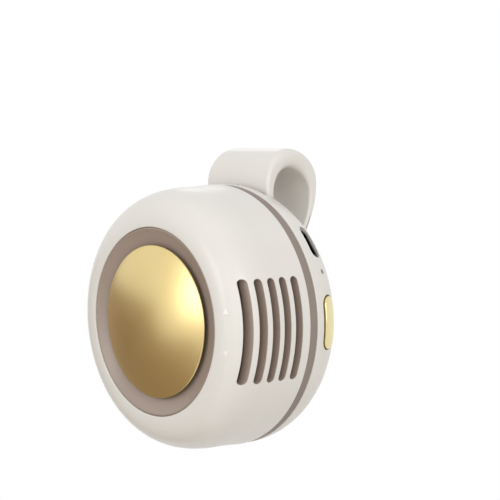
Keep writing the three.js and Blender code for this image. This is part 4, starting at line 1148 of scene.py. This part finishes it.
def torsion_spring():
    """The spring round the clip's pin: one leg stays with the shell, the other goes with the clip."""
    coil = PIN_RADIUS + RUN + SPRING_WIRE + FIT
    reach = SPRING_HALF - RUN - SPRING_WIRE
    steps = round(SPRING_TURNS * SPRING_STEPS)
    points = [(reach, PIN_Y - coil, PIN_Z + SPRING_LEG)]
    for i in range(steps + 1):
        angle = math.pi + 2 * math.pi * SPRING_TURNS * i / steps
        x = reach - 2 * reach * i / steps
        points.append((x, PIN_Y + coil * math.cos(angle), PIN_Z + coil * math.sin(angle)))
    points.append((-reach, PIN_Y + coil, PIN_Z + SPRING_LEG / 2))
    spring = draw("torsion_spring", points)
    end_edit()
    bpy.ops.object.convert(target="CURVE")
    spring.data.bevel_depth = SPRING_WIRE
    spring.data.bevel_resolution = 2
    spring.data.use_fill_caps = True
    bpy.ops.object.convert(target="MESH")
    start_edit(spring)
    close_up()
    end_edit()
    finish_piece(spring, None, [ZINC], ["clip_spring"])
    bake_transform(spring)


clip()
torsion_spring()


# Button, socket and pinhole window


def button():
    key = Pill(BUTTON_WIDTH, BUTTON_LENGTH, PORT_Y, BUTTON_Z)
    out = skin(REAR)
    piece = key.start("button_key", 0, -BUTTON_DEPTH, out)
    edge = BUTTON_EDGE
    for i in range(LIP_STEPS + 1):
        angle = math.radians(90) * i / LIP_STEPS
        drop = edge * (1 - math.sin(angle))
        key.next(piece, -edge * (1 - math.cos(angle)), BUTTON_RISE - drop, out)
    for inset in BUTTON_INSETS:
        key.next(piece, -inset, BUTTON_RISE, out)
    close_up()
    end_edit()
    finish_piece(piece, "button", [PLATED_GOLD], ["power_button"])


def socket():
    """Shell, tongue and contacts of the charging socket, drawn along X and turned to their place."""
    edge = radius_at(REAR, PORT_Y + USB_HEIGHT / 2)
    mouth = math.sqrt(edge**2 - (USB_WIDTH / 2) ** 2) - USB_RECESS

    def flat(y, z):
        return mouth

    port = Pill(USB_HEIGHT, USB_WIDTH, PORT_Y)
    shell = port.start("port_shell", 0, -USB_LENGTH, flat)
    port.next(shell, 0, -USB_EDGE, flat)
    port.next(shell, -USB_EDGE, 0, flat)
    port.next(shell, USB_EDGE - USB_SHEET, 0, flat)
    port.next(shell, -USB_SHEET, -USB_EDGE, flat)
    port.next(shell, -USB_SHEET, USB_SHEET - USB_LENGTH, flat)
    close_up()
    end_edit()
    shell.data.materials.append(NICKEL)
    shell.data.materials.append(NYLON)
    start_edit(shell)
    lining = Pill(USB_HEIGHT - USB_SHEET, USB_WIDTH - USB_SHEET, PORT_Y)

    def inside(face):
        middle = face.calc_center_median()
        core = min(max(middle.z, -lining.reach), lining.reach)
        within = math.hypot(middle.y - PORT_Y, middle.z - core) < lining.radius
        return within and middle.x < mouth - USB_EDGE

    pick(shell, "FACE", inside)
    shell.active_material_index = 1
    bpy.ops.object.material_slot_assign()
    end_edit()
    turn_object(shell, USB_ANGLE)
    finish_piece(shell, "housing", [NICKEL, NYLON], ["usb_shell"])
    face = mouth - TONGUE_SET_BACK
    half = TONGUE_WIDTH / 2
    thick = TONGUE_THICKNESS / 2
    low = (mouth - USB_LENGTH + USB_SHEET + FIT, PORT_Y - thick, -half)
    tongue = block("port_tongue", low, (face, PORT_Y + thick, half), TONGUE_EDGE)
    pads = []
    for side in (-1, 1):
        lift = PORT_Y + side * thick
        for i in range(PAD_COUNT):
            z = PAD_PITCH * (i - (PAD_COUNT - 1) / 2)
            near = (face - PAD_LENGTH, lift - PAD_RISE, z - PAD_WIDTH / 2)
            far = (face - PAD_WIDTH, lift + PAD_RISE, z + PAD_WIDTH / 2)
            pads.append(block("pad", near, far, PAD_EDGE))
    contacts = join(pads)
    contacts.name = "port_contacts"
    for piece in (tongue, contacts):
        turn_object(piece, USB_ANGLE)
    finish_piece(tongue, "housing", [NYLON], ["usb_tongue"])
    finish_piece(contacts, "housing", [PLATED_GOLD])


def pinhole():
    out = skin(REAR)
    hole = Pill(WINDOW_SIZE, WINDOW_SIZE, PORT_Y)
    window = hole.start("pinhole_window", 0, -WINDOW_DEPTH, out)
    for inset, depth in WINDOW_FACE:
        hole.next(window, -inset, -depth, out)
    close_up()
    end_edit()
    turn_object(window, LED_ANGLE)
    # The window's dark tint is in part painted shade down the pinhole.
    finish_piece(window, "housing", [POLYCARBONATE], ["light_pipe"])


button()
socket()
pinhole()


# What the frame keeps: finishes for the pieces inside


INSIDE = {
    NYLON: ["impeller", "motor_connector", "battery_connector", "tact_switch", "switch_plunger"],
    ZINC: [
        "motor_base", "bearing_front", "bearing_rear", "rotor_bell", "motor_shaft",
        "shaft_retaining_ring", "clip_pin",
    ],
    LAMINATION: ["stator_core"],
    COPPER: ["stator_windings"],
    MAGNET: ["magnet_ring"],
    BOARD: ["main_board"],
    POUCH: ["battery_cell"],
    FOAM: ["battery_pad"],
    SILICONE: ["motor_leads", "battery_leads"],
    POLYCARBONATE: ["indicator_led"],
}
for material, names in INSIDE.items():
    for name in names:
        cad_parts[name].data.materials.clear()
        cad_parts[name].data.materials.append(material)
for name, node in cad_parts.items():
    if "_screw_" in name:
        node.data.materials.clear()
        node.data.materials.append(ZINC)


# Camera, floor and light, in metres and watts

AZIMUTH = math.radians(48.48)  # camera round from the front, towards +X
ELEVATION = math.radians(7.3)
DISTANCE = 0.3587
ROLL = math.radians(0.14)
LENS = 95.8  # in millimetres
AIM_RIGHT = 0.00862  # where the camera looks, from the seam's middle
AIM_UP = 0.01736
RIGHT = Vector((math.cos(AZIMUTH), math.sin(AZIMUTH), 0))
UP = Vector(
    (
        -math.sin(AZIMUTH) * math.sin(ELEVATION),
        math.cos(AZIMUTH) * math.sin(ELEVATION),
        math.cos(ELEVATION),
    )
)
TOWARDS = Vector(
    (
        math.sin(AZIMUTH) * math.cos(ELEVATION),
        -math.cos(AZIMUTH) * math.cos(ELEVATION),
        math.sin(ELEVATION),
    )
)
seam_point = Vector((0, -GRIP_Y * MM, 0))


def aim(thing, target):
    thing.rotation_euler = (target - thing.location).to_track_quat("-Z", "Y").to_euler()


bpy.ops.object.camera_add(location=seam_point + DISTANCE * TOWARDS)
camera = bpy.context.object
camera.data.lens = LENS
aim(camera, seam_point + AIM_RIGHT * RIGHT + AIM_UP * UP)
camera.rotation_euler.rotate_axis("Z", ROLL)
bpy.context.scene.camera = camera


def softbox(name, location, size, power):
    bpy.ops.object.light_add(type="AREA", location=location)
    light = bpy.context.object
    light.name = name
    light.data.shape = "RECTANGLE"
    light.data.size, light.data.size_y = size
    light.data.energy = power
    aim(light, seam_point)


softbox("top_softbox", (0.1, -0.15, 0.6), (0.5, 0.4), 0.15)
softbox("front_softbox", (-0.09, -0.65, 0.14), (0.2, 0.28), 0.6)
softbox("fill_softbox", (0.28, -0.5, 0.16), (0.3, 0.3), 0.25)
softbox("rim_softbox", (-0.48, 0.38, 0.31), (0.1, 0.06), 0.05)
softbox("right_softbox", (0.6, -0.25, 0.2), (0.3, 0.5), 1.1)

FLOOR_Z = -0.12
FLOOR_SIZE = 6
bpy.ops.mesh.primitive_plane_add(size=FLOOR_SIZE, location=(0, 0, FLOOR_Z))
floor = bpy.context.object
floor.name = "floor"


def seen_directly(owner):
    """1 for rays from the camera, from a gloss or through glass, which all see the plain background."""
    path = add(owner, "ShaderNodeLightPath")
    seen = add(
        owner,
        "ShaderNodeMath",
        {0: path.outputs["Is Camera Ray"], 1: path.outputs["Is Glossy Ray"]},
        operation="MAXIMUM",
    )
    return add(
        owner,
        "ShaderNodeMath",
        {0: seen.outputs["Value"], 1: path.outputs["Is Transmission Ray"]},
        operation="MAXIMUM",
    )


def paper():
    """White paper: plain diffuse white, and pure white where it is seen as the background."""
    material, shader = surface("white_paper", Roughness=0.9)
    shader.inputs["Base Color"].default_value = hex_colour("#D6D1CA")
    tree = material.node_tree
    seen = seen_directly(material)
    glow = add(material, "ShaderNodeEmission", {"Color": (1, 1, 1, 1), "Strength": 1.0})
    mix = add(
        material,
        "ShaderNodeMixShader",
        {0: seen.outputs["Value"], 1: shader.outputs["BSDF"], 2: glow.outputs["Emission"]},
    )
    tree.links.new(mix.outputs["Shader"], tree.nodes["Material Output"].inputs["Surface"])
    return material


floor.data.materials.append(paper())

# A brown card lies in front on the left, and stands up along its left edge. Only reflections show it:
# it gives the dome its dark lower left, and it is hidden from the camera and from soft light.
CARD_WIDTH = 0.35
CARD_LENGTH = 0.46
CARD_RISE = 0.135
CARD_PLACE = (-CARD_WIDTH / 2, -0.25, -0.115)
bpy.ops.mesh.primitive_plane_add(size=1, location=CARD_PLACE)
card = bpy.context.object
card.name = "card"
card.scale = (CARD_WIDTH, CARD_LENGTH, 1)
bpy.ops.object.transform_apply(location=True, rotation=True, scale=True)
start_edit(card)
pick(card, "EDGE", lambda edge: all(corner.co.x < CARD_PLACE[0] for corner in edge.verts))
bpy.ops.mesh.extrude_region_move(TRANSFORM_OT_translate={"value": (0, 0, CARD_RISE)})
end_edit()
card.visible_camera = False
card.visible_diffuse = False
card.data.materials.append(moulded("brown_card", ("#9C8877", "#A6927F"), (0.8, 0.9), 2.0, 0.01))

world = bpy.data.worlds.new("studio")
bpy.context.scene.world = world
world.use_nodes = True
seen = seen_directly(world)
level = add(
    world,
    "ShaderNodeMapRange",
    {"Value": seen.outputs["Value"], "To Min": 0.72, "To Max": 1.0},
)
background = world.node_tree.nodes["Background"]
background.inputs["Color"].default_value = (1, 1, 1, 1)
world.node_tree.links.new(level.outputs["Result"], background.inputs["Strength"])

bpy.context.scene.view_settings.view_transform = "Standard"
